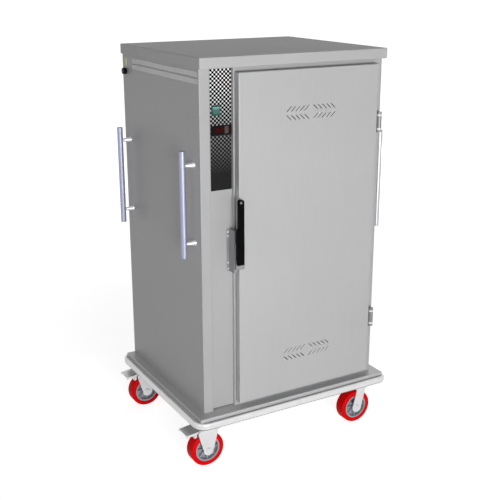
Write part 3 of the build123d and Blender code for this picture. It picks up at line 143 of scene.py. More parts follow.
class NodeKit:
    """Adds nodes to one material's or world's tree."""

    def __init__(self, tree: bpy.types.NodeTree) -> None:
        """Start from an empty tree."""
        self.tree = tree
        tree.nodes.clear()

    def add(self, kind: str, settings: Optional[dict[str, Any]] = None,
            sockets: Optional[dict[Union[int, str], Any]] = None,
            output: Union[int, str] = 0) -> Signal:
        """Add one node.

        Args:
            kind: The node's type.
            settings: Its settings, set before its sockets; "stops" are a colour ramp's.
            sockets: Values or links of its inputs, by name or number.
            output: The output that is returned.

        Returns:
            The chosen output.
        """
        node = self.tree.nodes.new(kind)
        for name, value in (settings or {}).items():
            if name == "stops":
                self._set_stops(node, value)
            else:
                setattr(node, name, value)
        for key, value in (sockets or {}).items():
            if isinstance(value, Signal):
                self.tree.links.new(value.socket, node.inputs[key])
            else:
                node.inputs[key].default_value = value
        return Signal(self, node.outputs[output])

    @staticmethod
    def _set_stops(node: bpy.types.Node, stops: Sequence[tuple[float, Colour]]) -> None:
        """Give a colour ramp its stops, lowest first."""
        elements = node.color_ramp.elements
        while len(elements) < len(stops):
            elements.new(1.0)
        for element, (position, colour) in zip(elements, stops):
            element.position = position
            element.color = (*colour, 1.0)

    def where(self) -> Signal:
        """Return the object coordinates."""
        return self.add("ShaderNodeTexCoord", output="Object")

    def axes(self) -> tuple[Signal, Signal, Signal]:
        """Return the object coordinates as three numbers."""
        split = self.add("ShaderNodeSeparateXYZ", sockets={0: self.where()})
        node = split.socket.node
        return split, Signal(self, node.outputs[1]), Signal(self, node.outputs[2])

    def noise(self, scale: float, detail: float = 2.0,
              stretch: Colour = (1.0, 1.0, 1.0)) -> Signal:
        """Return noise from 0 to 1 with scale grains to the metre, stretched along each axis."""
        mapped = self.add("ShaderNodeMapping", sockets={"Vector": self.where(), "Scale": stretch})
        return self.add("ShaderNodeTexNoise", sockets={
            "Vector": mapped, "Scale": scale, "Detail": detail})

    def mix(self, factor: Number, first: Union[Signal, Colour],
            second: Union[Signal, Colour]) -> Signal:
        """Return a blend of two colours, where a factor of 0 gives the first alone."""
        colours = [c if isinstance(c, Signal) else (*c, 1.0) for c in (first, second)]
        return self.add("ShaderNodeMix", {"data_type": "RGBA"},
                        {0: factor, 6: colours[0], 7: colours[1]}, output=2)

    def bump(self, height: Number, distance: float, strength: float = 1.0) -> Signal:
        """Return a normal bent by a height, where 1 stands for a distance in metres."""
        return self.add("ShaderNodeBump", sockets={
            "Height": height, "Distance": distance, "Strength": strength})

    def surface(self, **sockets: Any) -> Signal:
        """Add the main shader; names are its inputs with underscores for spaces."""
        named = {name.replace("_", " "): value for name, value in sockets.items()}
        return self.add("ShaderNodeBsdfPrincipled", sockets=named)

    def finish(self, shader: Signal, kind: str = "ShaderNodeOutputMaterial") -> None:
        """Link a shader to the tree's output."""
        node = self.tree.nodes.new(kind)
        self.tree.links.new(shader.socket, node.inputs["Surface"])


def varied(kit: NodeKit, tint: Colour, amount: Number, spread: float) -> Signal:
    """Return a tint that an amount from 0 to 1 makes darker or lighter by a share."""
    low, high = (tuple(min(1.0, c * share) for c in tint) for share in (1 - spread, 1 + spread))
    return kit.mix(amount, low, high)


class Finish:
    """A surface finish that can be built as a material."""

    def shade(self, kit: NodeKit) -> Signal:
        """Return the finish's shader."""
        raise NotImplementedError

    def material(self, name: str) -> bpy.types.Material:
        """Return the finish as a named material, built once."""
        name = "finish_" + name
        made = bpy.data.materials.get(name)
        if made is None:
            made = bpy.data.materials.new(name)
            made.use_nodes = True
            kit = NodeKit(made.node_tree)
            kit.finish(self.shade(kit))
        return made


@dataclass(frozen=True)
class BrushedSheet(Finish):
    """Satin stainless sheet with long fine scratches and a faint cloudiness."""

    tint: Colour
    grain: Grain = Grain.ALONG_Z
    metallic: float = 0.26
    roughness: float = 0.42
    shine: float = 0.2
    streak: float = 0.05
    cloud: float = 0.03

    def shade(self, kit: NodeKit) -> Signal:
        """Return brushed metal whose scratches vary its colour, gloss and slope."""
        fine = kit.noise(1.0, 2.0, self.grain.value)
        clouds = kit.noise(3.2, 3.0)
        drift = fine * 0.6 + clouds * 0.4
        colour = varied(kit, self.tint, drift.between(0.25, 0.75), self.streak)
        rough = self.roughness + (fine - 0.5) * 0.16 + (clouds - 0.5) * self.cloud * 4
        return kit.surface(Base_Color=colour, Metallic=self.metallic, Roughness=rough,
                           Specular_IOR_Level=self.shine, Normal=kit.bump(fine, 0.00003, 0.6))


@dataclass(frozen=True)
class PlatedMetal(Finish):
    """Plated or cast metal with a mottled, slightly uneven skin."""

    tint: Colour
    metallic: float = 0.6
    roughness: float = 0.34
    mottle: float = 0.08
    grains: float = 260.0

    def shade(self, kit: NodeKit) -> Signal:
        """Return metal whose mottling varies its colour and gloss."""
        small = kit.noise(self.grains, 3.0)
        large = kit.noise(22.0, 2.0)
        colour = varied(kit, self.tint, (small * 0.5 + large * 0.5).between(0.3, 0.7), self.mottle)
        rough = self.roughness + (small - 0.5) * 0.14 + (large - 0.5) * 0.1
        return kit.surface(Base_Color=colour, Metallic=self.metallic, Roughness=rough,
                           Normal=kit.bump(small, 0.00004, 0.5))


@dataclass(frozen=True)
class UndersideShadedSteel(Finish):
    """Satin steel lining painted near white as painted light, whose downward faces are painted
    dark as painted shade.
    """

    tint: Colour
    painted_shade: Colour

    def shade(self, kit: NodeKit) -> Signal:
        """Return steel that is painted darker wherever it faces down, as painted shade."""
        normal = kit.add("ShaderNodeNewGeometry", output="Normal")
        rise = kit.add("ShaderNodeSeparateXYZ", sockets={0: normal}, output="Z")
        patches = kit.noise(160.0, 3.0)
        # painted shade: faces that point down take the dark colour
        under = (rise * -1.0).between(0.15, 0.45)
        colour = kit.mix(under, varied(kit, self.tint, patches, 0.04),
                         varied(kit, self.painted_shade, patches, 0.2))
        return kit.surface(Base_Color=colour, Metallic=0.12, Roughness=0.4 + patches * 0.15,
                           Normal=kit.bump(patches, 0.00004, 0.5))


@dataclass(frozen=True)
class MouldedPlastic(Finish):
    """Moulded plastic or paint with a fine pebble and a little dust."""

    tint: Colour
    roughness: float = 0.42
    pebble: float = 0.00004
    dust: float = 0.06
    gloss: float = 0.5

    def shade(self, kit: NodeKit) -> Signal:
        """Return plastic with a pebbled skin."""
        pebbles = kit.noise(1800.0, 1.0)
        clouds = kit.noise(26.0, 3.0)
        colour = varied(kit, self.tint, clouds.between(0.3, 0.7), self.dust)
        rough = self.roughness + (clouds - 0.5) * 0.18 + (pebbles - 0.5) * 0.05
        return kit.surface(Base_Color=colour, Roughness=rough, Specular_IOR_Level=self.gloss,
                           Normal=kit.bump(pebbles, self.pebble, 0.6))


@dataclass(frozen=True)
class WheelRubber(Finish):
    """Cast tyre rubber, glossy on its sides and scuffed on its tread."""

    tint: Colour
    scuffed: Colour
    roughness: float = 0.45
    gloss: float = 0.06

    def shade(self, kit: NodeKit) -> Signal:
        """Return rubber with scuffs that dull it in patches."""
        patches = kit.noise(70.0, 4.0)
        fine = kit.noise(900.0, 2.0)
        scuffs = (patches * 0.7 + fine * 0.3).between(0.55, 0.8)
        colour = kit.mix(scuffs * 0.35, self.tint, self.scuffed)
        rough = self.roughness + scuffs * 0.2
        return kit.surface(Base_Color=colour, Roughness=rough, Specular_IOR_Level=self.gloss,
                           Normal=kit.bump(fine, 0.00004, 0.5))


@dataclass(frozen=True)
class BumperRail(Finish):
    """A pale satin rail whose lower edge is painted dark as painted shade."""

    tint: Colour
    painted_lip_shade: Colour
    painted_lip_shade_top: float
    metallic: float = 0.6
    roughness: float = 0.36

    def shade(self, kit: NodeKit) -> Signal:
        """Return the rail with its lower edge painted dark as painted shade, and a slightly duller
        lower half.
        """
        _, _, z = kit.axes()
        clouds = kit.noise(24.0, 3.0)
        fine = kit.noise(1500.0, 1.0)
        # painted shade: below this height the rail takes the dark colour
        face = z.between(self.painted_lip_shade_top, self.painted_lip_shade_top + 0.0006)
        tint = varied(kit, self.tint, clouds.between(0.3, 0.7), 0.03)
        return kit.surface(Base_Color=kit.mix(face, self.painted_lip_shade, tint), Metallic=face * self.metallic,
                           Roughness=self.roughness + (clouds - 0.5) * 0.16 + (1 - face) * 0.2,
                           Normal=kit.bump(fine, 0.00003, 0.5))


@dataclass(frozen=True)
class MineralWool(Finish):
    """Matted insulation fibres."""

    tint: Colour

    def shade(self, kit: NodeKit) -> Signal:
        """Return rough wool with long crossing fibres."""
        fibres = kit.noise(1.0, 3.0, (700.0, 90.0, 300.0))
        across = kit.noise(1.0, 3.0, (90.0, 700.0, 700.0))
        mat = fibres * 0.5 + across * 0.5
        return kit.surface(Base_Color=varied(kit, self.tint, mat.between(0.3, 0.7), 0.3),
                           Roughness=0.9 + (mat - 0.5) * 0.1, Normal=kit.bump(mat, 0.0008))


@dataclass(frozen=True)
class PrintedFilm(Finish):
    """Dark film printed with small chequers that fade out towards its lower end."""

    left: float
    top: float
    square_width: float
    square_height: float
    filled: float
    fade: Sequence[tuple[float, float]]
    ground: Sequence[tuple[float, float]]

    def _ramp(self, kit: NodeKit, height: Signal, levels: Sequence[tuple[float, float]]) -> Signal:
        """Return grey that follows (height, level) pairs, lowest first."""
        low, high = levels[0][0], levels[-1][0]
        stops = [((z - low) / (high - low), (linear(v),) * 3) for z, v in levels]
        return kit.add("ShaderNodeValToRGB", {"stops": stops}, {0: height.between(low, high)})

    def shade(self, kit: NodeKit) -> Signal:
        """Return the printed film under a thin gloss."""
        x, _, z = kit.axes()
        across = (x - self.left) / self.square_width
        down = (self.top - z) / self.square_height
        light = ((across.floor() + down.floor()) % 2.0).above(0.5)
        light = light * (across % 1.0 - 0.5).within(self.filled / 2)
        light = light * (down % 1.0 - 0.5).within(self.filled / 2)
        specks = kit.noise(500.0, 2.0)
        colour = kit.mix(light, self._ramp(kit, z, self.ground), self._ramp(kit, z, self.fade))
        return kit.surface(Base_Color=colour, Roughness=0.42 + (specks - 0.5) * 0.12,
                           Specular_IOR_Level=0.05, Normal=kit.bump(specks, 0.00002, 0.4))


@dataclass(frozen=True)
class TintedLens(Finish):
    """Clear tinted plastic with a paler band near its upper edge as a painted highlight, and a
    painted grey reflection in its middle.
    """

    deep: Colour
    pale: Colour
    dull: Colour
    low: float
    high: float

    def shade(self, kit: NodeKit) -> Signal:
        """Return the lens, painted paler towards its upper edge as a painted highlight and greyer
        in its middle as a painted reflection.
        """
        _, _, z = kit.axes()
        cloud = kit.noise(55.0, 2.0)
        rise = z.between(self.low, self.high)
        # painted highlight: the upper band of the lens takes the pale colour
        colour = kit.mix(rise.between(0.62, 0.82), self.deep, self.pale)
        # painted reflection: a cloudy grey patch across the middle of the lens
        middle = rise.between(0.3, 0.5) * (1 - rise.between(0.6, 0.75)) * cloud.between(0.4, 0.6)
        return kit.surface(Base_Color=kit.mix(middle * 0.7, colour, self.dull),
                           Roughness=0.16 + cloud * 0.1, Coat_Weight=0.4,
                           Normal=kit.bump(cloud, 0.00005))


def make_object(name: str, data: bpy.types.ID) -> bpy.types.Object:
    """Return a new object in the scene that holds a mesh, a lamp or a camera."""
    made = bpy.data.objects.new(name, data)
    bpy.context.scene.collection.objects.link(made)
    return made


def mesh_from(bm: bmesh.types.BMesh, name: str, smooth_angle: float = 35.0) -> bpy.types.Mesh:
    """Turn a bmesh into a mesh with smooth faces and sharp creases.

    Args:
        bm: The bmesh, which is freed.
        name: The mesh's name.
        smooth_angle: Edges that turn by more than this many degrees are creases.

    Returns:
        The mesh.
    """
    limit = math.radians(smooth_angle)
    for face in bm.faces:
        face.smooth = True
    for edge in bm.edges:
        edge.smooth = len(edge.link_faces) == 2 and edge.calc_face_angle(0.0) < limit
    mesh = bpy.data.meshes.new(name)
    bm.to_mesh(mesh)
    bm.free()
    return mesh


def settled(piece: bpy.types.Object, name: str) -> bpy.types.Object:
    """Replace an object with live modifiers by one with the finished mesh.

    Args:
        piece: The object with modifiers, which is removed.
        name: The finished object's name.

    Returns:
        The finished object.
    """
    shown = piece.evaluated_get(bpy.context.evaluated_depsgraph_get())
    mesh = bpy.data.meshes.new_from_object(shown)
    mesh.name = name
    bpy.data.objects.remove(piece)
    return make_object(name, mesh)


def add_block(bm: bmesh.types.BMesh, low: Vector, high: Vector) -> None:
    """Add a closed box between two corners."""
    size = high - low
    matrix = Matrix.Translation((low + high) / 2) @ Matrix.Diagonal((*size, 1.0))
    bmesh.ops.create_cube(bm, size=1.0, matrix=matrix)


def add_turned(bm: bmesh.types.BMesh, profile: Sequence[tuple[float, float]], steps: int,
               matrix: Matrix = Matrix.Identity(4)) -> None:
    """Add a closed solid turned about its own Z axis.

    Args:
        bm: The bmesh that gets the solid.
        profile: (radius, height) pairs from the lower middle to the upper middle.
        steps: Faces round the axis.
        matrix: The solid's place.
    """
    rings: list[list[bmesh.types.BMVert]] = []
    for radius, height in profile:
        if radius < 1e-9:
            rings.append([bm.verts.new(matrix @ Vector((0, 0, height)))])
            continue
        ring = []
        for index in range(steps):
            angle = 2 * math.pi * index / steps
            point = Vector((radius * math.cos(angle), radius * math.sin(angle), height))
            ring.append(bm.verts.new(matrix @ point))
        rings.append(ring)
    for lower, upper in zip(rings, rings[1:]):
        for index in range(steps):
            after = (index + 1) % steps
            if len(lower) == 1:
                bm.faces.new((lower[0], upper[after], upper[index]))
            elif len(upper) == 1:
                bm.faces.new((lower[index], lower[after], upper[0]))
            else:
                bm.faces.new((lower[index], lower[after], upper[after], upper[index]))


def add_prism(bm: bmesh.types.BMesh, near: Sequence[Vector], far: Sequence[Vector]) -> None:
    """Add a closed solid between two outlines that match point by point."""
    first, second = ([bm.verts.new(point) for point in outline] for outline in (near, far))
    bm.faces.new(first)
    bm.faces.new(reversed(second))
    for index in range(len(first)):
        after = (index + 1) % len(first)
        bm.faces.new((first[after], first[index], second[index], second[after]))
    bmesh.ops.recalc_face_normals(bm, faces=bm.faces)


def turned_piece(name: str, profile: Sequence[tuple[float, float]], steps: int, normal: Vector,
                 origin: Vector, smooth_angle: float = 50.0) -> bpy.types.Object:
    """Return a turned solid whose axis points along a normal.

    Args:
        name: The piece's name.
        profile: (radius, height) pairs from the lower middle to the upper middle.
        steps: Faces round the axis.
        normal: The direction of its axis.
        origin: The point of its axis at height 0.
        smooth_angle: Edges that turn by more than this many degrees are creases.

    Returns:
        The piece.
    """
    turn = normal.to_track_quat("Z", "Y").to_matrix().to_4x4()
    bm = bmesh.new()
    add_turned(bm, profile, steps, Matrix.Translation(origin) @ turn)
    return make_object(name, mesh_from(bm, name, smooth_angle))


def soft_block(name: str, low: Vector, high: Vector, edge: float) -> bpy.types.Object:
    """Return a block between two corners with its edges rounded by a radius."""
    bm = bmesh.new()
    add_block(bm, low, high)
    block = make_object(name, mesh_from(bm, name))
    bevel = block.modifiers.new("rounds", "BEVEL")
    bevel.width, bevel.segments = edge, 2
    return settled(block, name)


@dataclass
class CopyTree:
    """A Geometry Nodes tree that sets a small part on each point of a mesh."""

    tree: Optional[bpy.types.NodeTree] = None

    def build(self) -> bpy.types.NodeTree:
        """Return the tree, built once, with the inputs Part and Finish."""
        if self.tree is not None:
            return self.tree
        tree = bpy.data.node_groups.new("copies_on_points", "GeometryNodeTree")
        for name, way, kind in (("Geometry", "INPUT", "Geometry"), ("Part", "INPUT", "Object"),
                                ("Finish", "INPUT", "Material"),
                                ("Geometry", "OUTPUT", "Geometry")):
            tree.interface.new_socket(name, in_out=way, socket_type="NodeSocket" + kind)
        start = tree.nodes.new("NodeGroupInput")
        end = tree.nodes.new("NodeGroupOutput")
        part = tree.nodes.new("GeometryNodeObjectInfo")
        turn = tree.nodes.new("GeometryNodeInputNamedAttribute")
        turn.data_type = "FLOAT_VECTOR"
        turn.inputs["Name"].default_value = "turn"
        copy = tree.nodes.new("GeometryNodeInstanceOnPoints")
        real = tree.nodes.new("GeometryNodeRealizeInstances")
        paint = tree.nodes.new("GeometryNodeSetMaterial")
        for source, output, target, entry in (
                (start, "Part", part, "Object"), (start, "Geometry", copy, "Points"),
                (part, "Geometry", copy, "Instance"), (turn, "Attribute", copy, "Rotation"),
                (copy, "Instances", real, "Geometry"), (real, "Geometry", paint, "Geometry"),
                (start, "Finish", paint, "Material"), (paint, "Geometry", end, "Geometry")):
            tree.links.new(source.outputs[output], target.inputs[entry])
        self.tree = tree
        return tree

    def spread(self, name: str, part: bpy.types.Mesh, spots: Iterable[tuple[Vector, Vector]],
               finish: bpy.types.Material) -> bpy.types.Object:
        """Set a part on each spot and return the copies as one plain mesh.

        Args:
            name: The finished piece's name.
            part: The part's mesh about its own origin.
            spots: Each copy's place and its turn in radians about X, Y and Z.
            finish: The copies' material.

        Returns:
            The finished piece.
        """
        tree = self.build()
        spots = list(spots)
        points = bpy.data.meshes.new(name + "_points")
        points.from_pydata([tuple(spot) for spot, _ in spots], [], [])
        turns = points.attributes.new("turn", "FLOAT_VECTOR", "POINT")
        for entry, (_, turn) in zip(turns.data, spots):
            entry.vector = turn
        holder = make_object(name + "_points", points)
        template = make_object(name + "_part", part)
        modifier = holder.modifiers.new("copies", "NODES")
        modifier.node_group = tree
        given = {"Part": template, "Finish": finish}
        for item in tree.interface.items_tree:
            if item.in_out == "INPUT" and item.name in given:
                modifier[item.identifier] = given[item.name]
        bpy.context.view_layer.update()
        piece = settled(holder, name)
        bpy.data.objects.remove(template)
        return piece


COPIES = CopyTree()


def dress(piece: bpy.types.Object, body: str,
          material: Optional[bpy.types.Material] = None,
          nodes: Sequence[str] = ()) -> bpy.types.Object:
    """Give a finished piece its material and body, and hide the solids that it stands for.

    Args:
        piece: The finished piece, at the origin.
        body: The body that it rides on.
        material: Its material, where it has none yet.
        nodes: The solids that it stands for.

    Returns:
        The same piece.
    """
    if material is not None:
        piece.data.materials.clear()
        piece.data.materials.append(material)
    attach(piece, body)
    if nodes:
        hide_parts(*nodes)
    log.info("%s rides on %s with %d faces", piece.name, body, len(piece.data.polygons))
    return piece


@dataclass
class FoldedPart:
    """A sheet or moulded solid whose edges get the small rounds of a real one.

    Attributes:
        node: The solid that it stands for.
        body: The body that it rides on.
        slot: The record's material slot.
        bend: The round of the long outer folds, in metres.
        edge: The round of its other edges, in metres.
        longest: Edges on the outer box at least this long get the large round.
        finish: The finish's name, where it isn't the slot's.
    """

    node: str
    body: str
    slot: str
    bend: float = 0.0016
    edge: float = 0.0004
    longest: float = 0.15
    finish: str = ""

    def _outer(self, edge: bmesh.types.BMEdge, low: Vector, high: Vector) -> bool:
        """Return whether an edge lies along an edge of the solid's outer box."""
        shared = 0
        for axis in range(3):
            a, b = (vert.co[axis] for vert in edge.verts)
            if abs(a - b) < 1e-5 and min(abs(a - low[axis]), abs(a - high[axis])) < 2e-5:
                shared += 1
        return shared >= 2

    def build(self, palette: "Palette") -> bpy.types.Object:
        """Return the piece with its edges rounded, in place of its solid.

        Args:
            palette: Where its finish comes from.

        Returns:
            The finished piece.
        """
        bm = bmesh.new()
        bm.from_mesh(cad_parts[self.node].data)
        bmesh.ops.remove_doubles(bm, verts=bm.verts, dist=5e-6)
        bmesh.ops.dissolve_limit(bm, angle_limit=math.radians(0.6), use_dissolve_boundaries=False,
                                 verts=bm.verts, edges=bm.edges)
        low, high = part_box(self.node)
        weight = bm.edges.layers.float.new("bevel_weight_edge")
        for edge in bm.edges:
            if len(edge.link_faces) != 2 or not edge.is_convex:
                continue
            if edge.calc_face_angle(0.0) < math.radians(40):
                continue
            length = edge.calc_length()
            if length >= self.longest and self._outer(edge, low, high):
                edge[weight] = 1.0
            elif length >= 6 * self.edge:
                edge[weight] = self.edge / self.bend
        mesh = mesh_from(bm, self.node + "_folded", 32.0)
        rounded = make_object(self.node + "_rounding", mesh)
        bevel = rounded.modifiers.new("rounds", "BEVEL")
        bevel.limit_method = "WEIGHT"
        bevel.width = self.bend
        bevel.segments = 3
        bevel.use_clamp_overlap = False
        bevel.harden_normals = True
        bevel.edge_weight = "bevel_weight_edge"
        piece = settled(rounded, self.node + "_folded")
        finish = palette.get(self.finish or self.slot)
        return dress(piece, self.body, finish, [self.node])


class Palette:
    """The cart's finishes by slot, each built when it is first asked for."""

    def __init__(self) -> None:
        """Name the finishes."""
        self.finishes: dict[str, Finish] = {
            # The outer stainless sheets are one steel; their tints differ by sheet as painted
            # light and shade, the door, lid and tray tinted a little lighter than the sides and
            # the front.
            "steel_side": BrushedSheet(grey(184), Grain.ALONG_Z, 0.1),
            "steel_front": BrushedSheet(grey(183), Grain.ALONG_Z, 0.1),
            "steel_door": BrushedSheet(grey(191), Grain.ALONG_Z, 0.18),
            # vent lining: painted near white as painted light, painted dark where it faces down as
            # painted shade
            "vent_steel": UndersideShadedSteel(grey(246, 0), shade_of(70, 69, 68)),
            "steel_lid": BrushedSheet(grey(194), Grain.ALONG_X, 0.12, shine=0.03),
            "steel_tray": BrushedSheet(grey(200), Grain.ALONG_X, 0.26),
            "liner_steel": BrushedSheet(grey(196), Grain.ALONG_X),
            "shelf_wire": PlatedMetal(grey(205, 2), 0.85, 0.2),
            "chassis_steel": PlatedMetal(grey(150, 0), 0.4, 0.5),
            # the rail's dark lower edge is painted shade
            "bumper_grey": BumperRail(grey(224, 0), grey(116, 0), 0.1735),
            "push_bar_aluminium": PlatedMetal(shade_of(160, 163, 186), 0.5, 0.42, 0.02, 60.0),
            "push_bar_plain": PlatedMetal(grey(186, 3), 0.6, 0.36, 0.02, 60.0),
            "standoff_chrome": PlatedMetal(grey(222, 3), 0.7, 0.36, 0.02, 90.0),
            "castor_zinc": PlatedMetal(grey(224), 0.55, 0.36, 0.04),
            "wheel_centre_metal": PlatedMetal(shade_of(158, 165, 171), 0.3, 0.42, 0.06),
            "red_tyre": WheelRubber(shade_of(236, 10, 18), shade_of(205, 20, 24)),
            "hinge_steel": PlatedMetal(grey(134), 0.4, 0.42),
            "washer_plastic": MouldedPlastic(shade_of(240, 240, 238)),
            "louvre_steel": PlatedMetal(grey(168), 0.55, 0.4, 0.03),
            "latch_metal": PlatedMetal(grey(146, 2), 0.35, 0.38),
            "screw_bright": PlatedMetal(grey(206, 2), 0.6, 0.36, 0.02),
            "lever_black": MouldedPlastic(grey(12), 0.38, gloss=0.02),
            "lever_insert": MouldedPlastic(grey(140, 2), 0.4, gloss=0.1),
            "plug_grey": MouldedPlastic(grey(168, 2), 0.4),
            "control_black": MouldedPlastic(grey(20), 0.3, 0.00002, gloss=0.05),
            "key_grey": MouldedPlastic(shade_of(88, 71, 71), 0.5, gloss=0.1),
            "insulation_wool": MineralWool(shade_of(212, 205, 176)),
            "gasket_rubber": MouldedPlastic(grey(96, 0), 0.7),
            "heater_steel": PlatedMetal(shade_of(140, 134, 130), 0.6, 0.45),
            "motor_metal": PlatedMetal(grey(175), 0.6, 0.4),
            "bezel_green": MouldedPlastic(shade_of(44, 98, 90), 0.3, 0.00002, gloss=0.1),
            # the rocker lens carries a painted highlight and a painted reflection
            "button_green": TintedLens(shade_of(44, 108, 97), shade_of(112, 166, 156),
                                       shade_of(104, 108, 118), 1.2205, 1.2455),
            "cover_cream": MouldedPlastic(shade_of(196, 200, 168), 0.4),
            "window_dark_red": MouldedPlastic(shade_of(50, 11, 10), 0.18, 0.00001, gloss=0.03),
            "bar_dim_red": MouldedPlastic(shade_of(84, 22, 15), 0.3, 0.00001, gloss=0.03),
            "lamp_red": MouldedPlastic(shade_of(110, 30, 28), 0.2, 0.00001),
        }

    def get(self, name: str) -> bpy.types.Material:
        """Return a finish's material."""
        return self.finishes[name].material(name)


@dataclass
class Assembly:
    """Part of the cart. Its sizes are in millimetres from the cabinet's middle on the floor."""

    palette: Palette

    def fold(self, *rows: tuple[Any, ...]) -> None:
        """Round the edges of several solids, each given as the fields of a FoldedPart."""
        for row in rows:
            FoldedPart(*row).build(self.palette)


@dataclass
class Cabinet(Assembly):
    """The cabinet's folded sheets, their louvres and the small round cover on the left."""

    vent_rows: tuple[tuple[float, float], ...] = ((1339.0, 1357.0), (1317.0, 1336.0))
    vent_start: float = -291.0
    vent_pitch: float = 10.0
    vent_width: float = 5.0
    vent_count: int = 51
    vent_open: float = 2.4
    cover_y: float = 278.0
    cover_z: float = 1340.0
    cover_radius: float = 18.0

    def build_sheets(self) -> None:
        """Round the folds of the outer sheets."""
        for node, bend, finish in (
                ("left_side_panel", 0.0024, "steel_side"),
                ("right_side_panel", 0.0024, "steel_side"),
                ("back_panel", 0.001, "steel_side"), ("front_frame", 0.001, "steel_front"),
                ("fascia_panel", 0.0005, "steel_front"), ("lid", 0.0028, "steel_lid"),
                ("platform_tray", 0.0018, "steel_tray")):
            FoldedPart(node, "cabinet", "stainless_sheet", bend, finish=finish).build(self.palette)

    def build_louvres(self) -> None:
        """Set a slanted blade behind each slot of the left side."""
        bm = bmesh.new()
        half = self.vent_width / 2 * MM
        tall = (max(high - low for low, high in self.vent_rows) - self.vent_open) / 2 * MM
        rim, sunk, thick = 0.0002, 0.0042, 0.0006
        outline = [(rim, half), (sunk, -half), (sunk + thick, -half), (rim + thick, half)]
        add_prism(bm, *([(dx, dy, z) for dx, dy in outline] for z in (-tall, tall)))
        blade = mesh_from(bm, "louvre_blade")
        spots = []
        for (low, high), index in product(self.vent_rows, range(self.vent_count)):
            y = self.vent_start + index * self.vent_pitch + self.vent_width / 2
            spots.append((place(SIDE_FACE, y, (low + high - self.vent_open) / 2), LEVEL))
        piece = COPIES.spread("side_louvres", blade, spots, self.palette.get("louvre_steel"))
        dress(piece, "cabinet")

    def build_cover(self) -> None:
        """Make the small pale round cover high at the rear of the left side."""
        r = self.cover_radius * MM
        profile = [(0, -0.0004), (r, -0.0004), (r, 0.0016), (r - 0.0006, 0.0024),
                   (r - 0.003, 0.0029), (r - 0.005, 0.0027), (r - 0.006, 0.0022), (0, 0.0022)]
        spot = place(SIDE_FACE, self.cover_y, self.cover_z)
        piece = turned_piece("round_cover", profile, 64, TO_LEFT, spot)
        dress(piece, "cabinet", self.palette.get("cover_cream"))

    def build(self) -> None:
        """Make every piece of the cabinet."""
        self.build_sheets()
        self.build_louvres()
        self.build_cover()


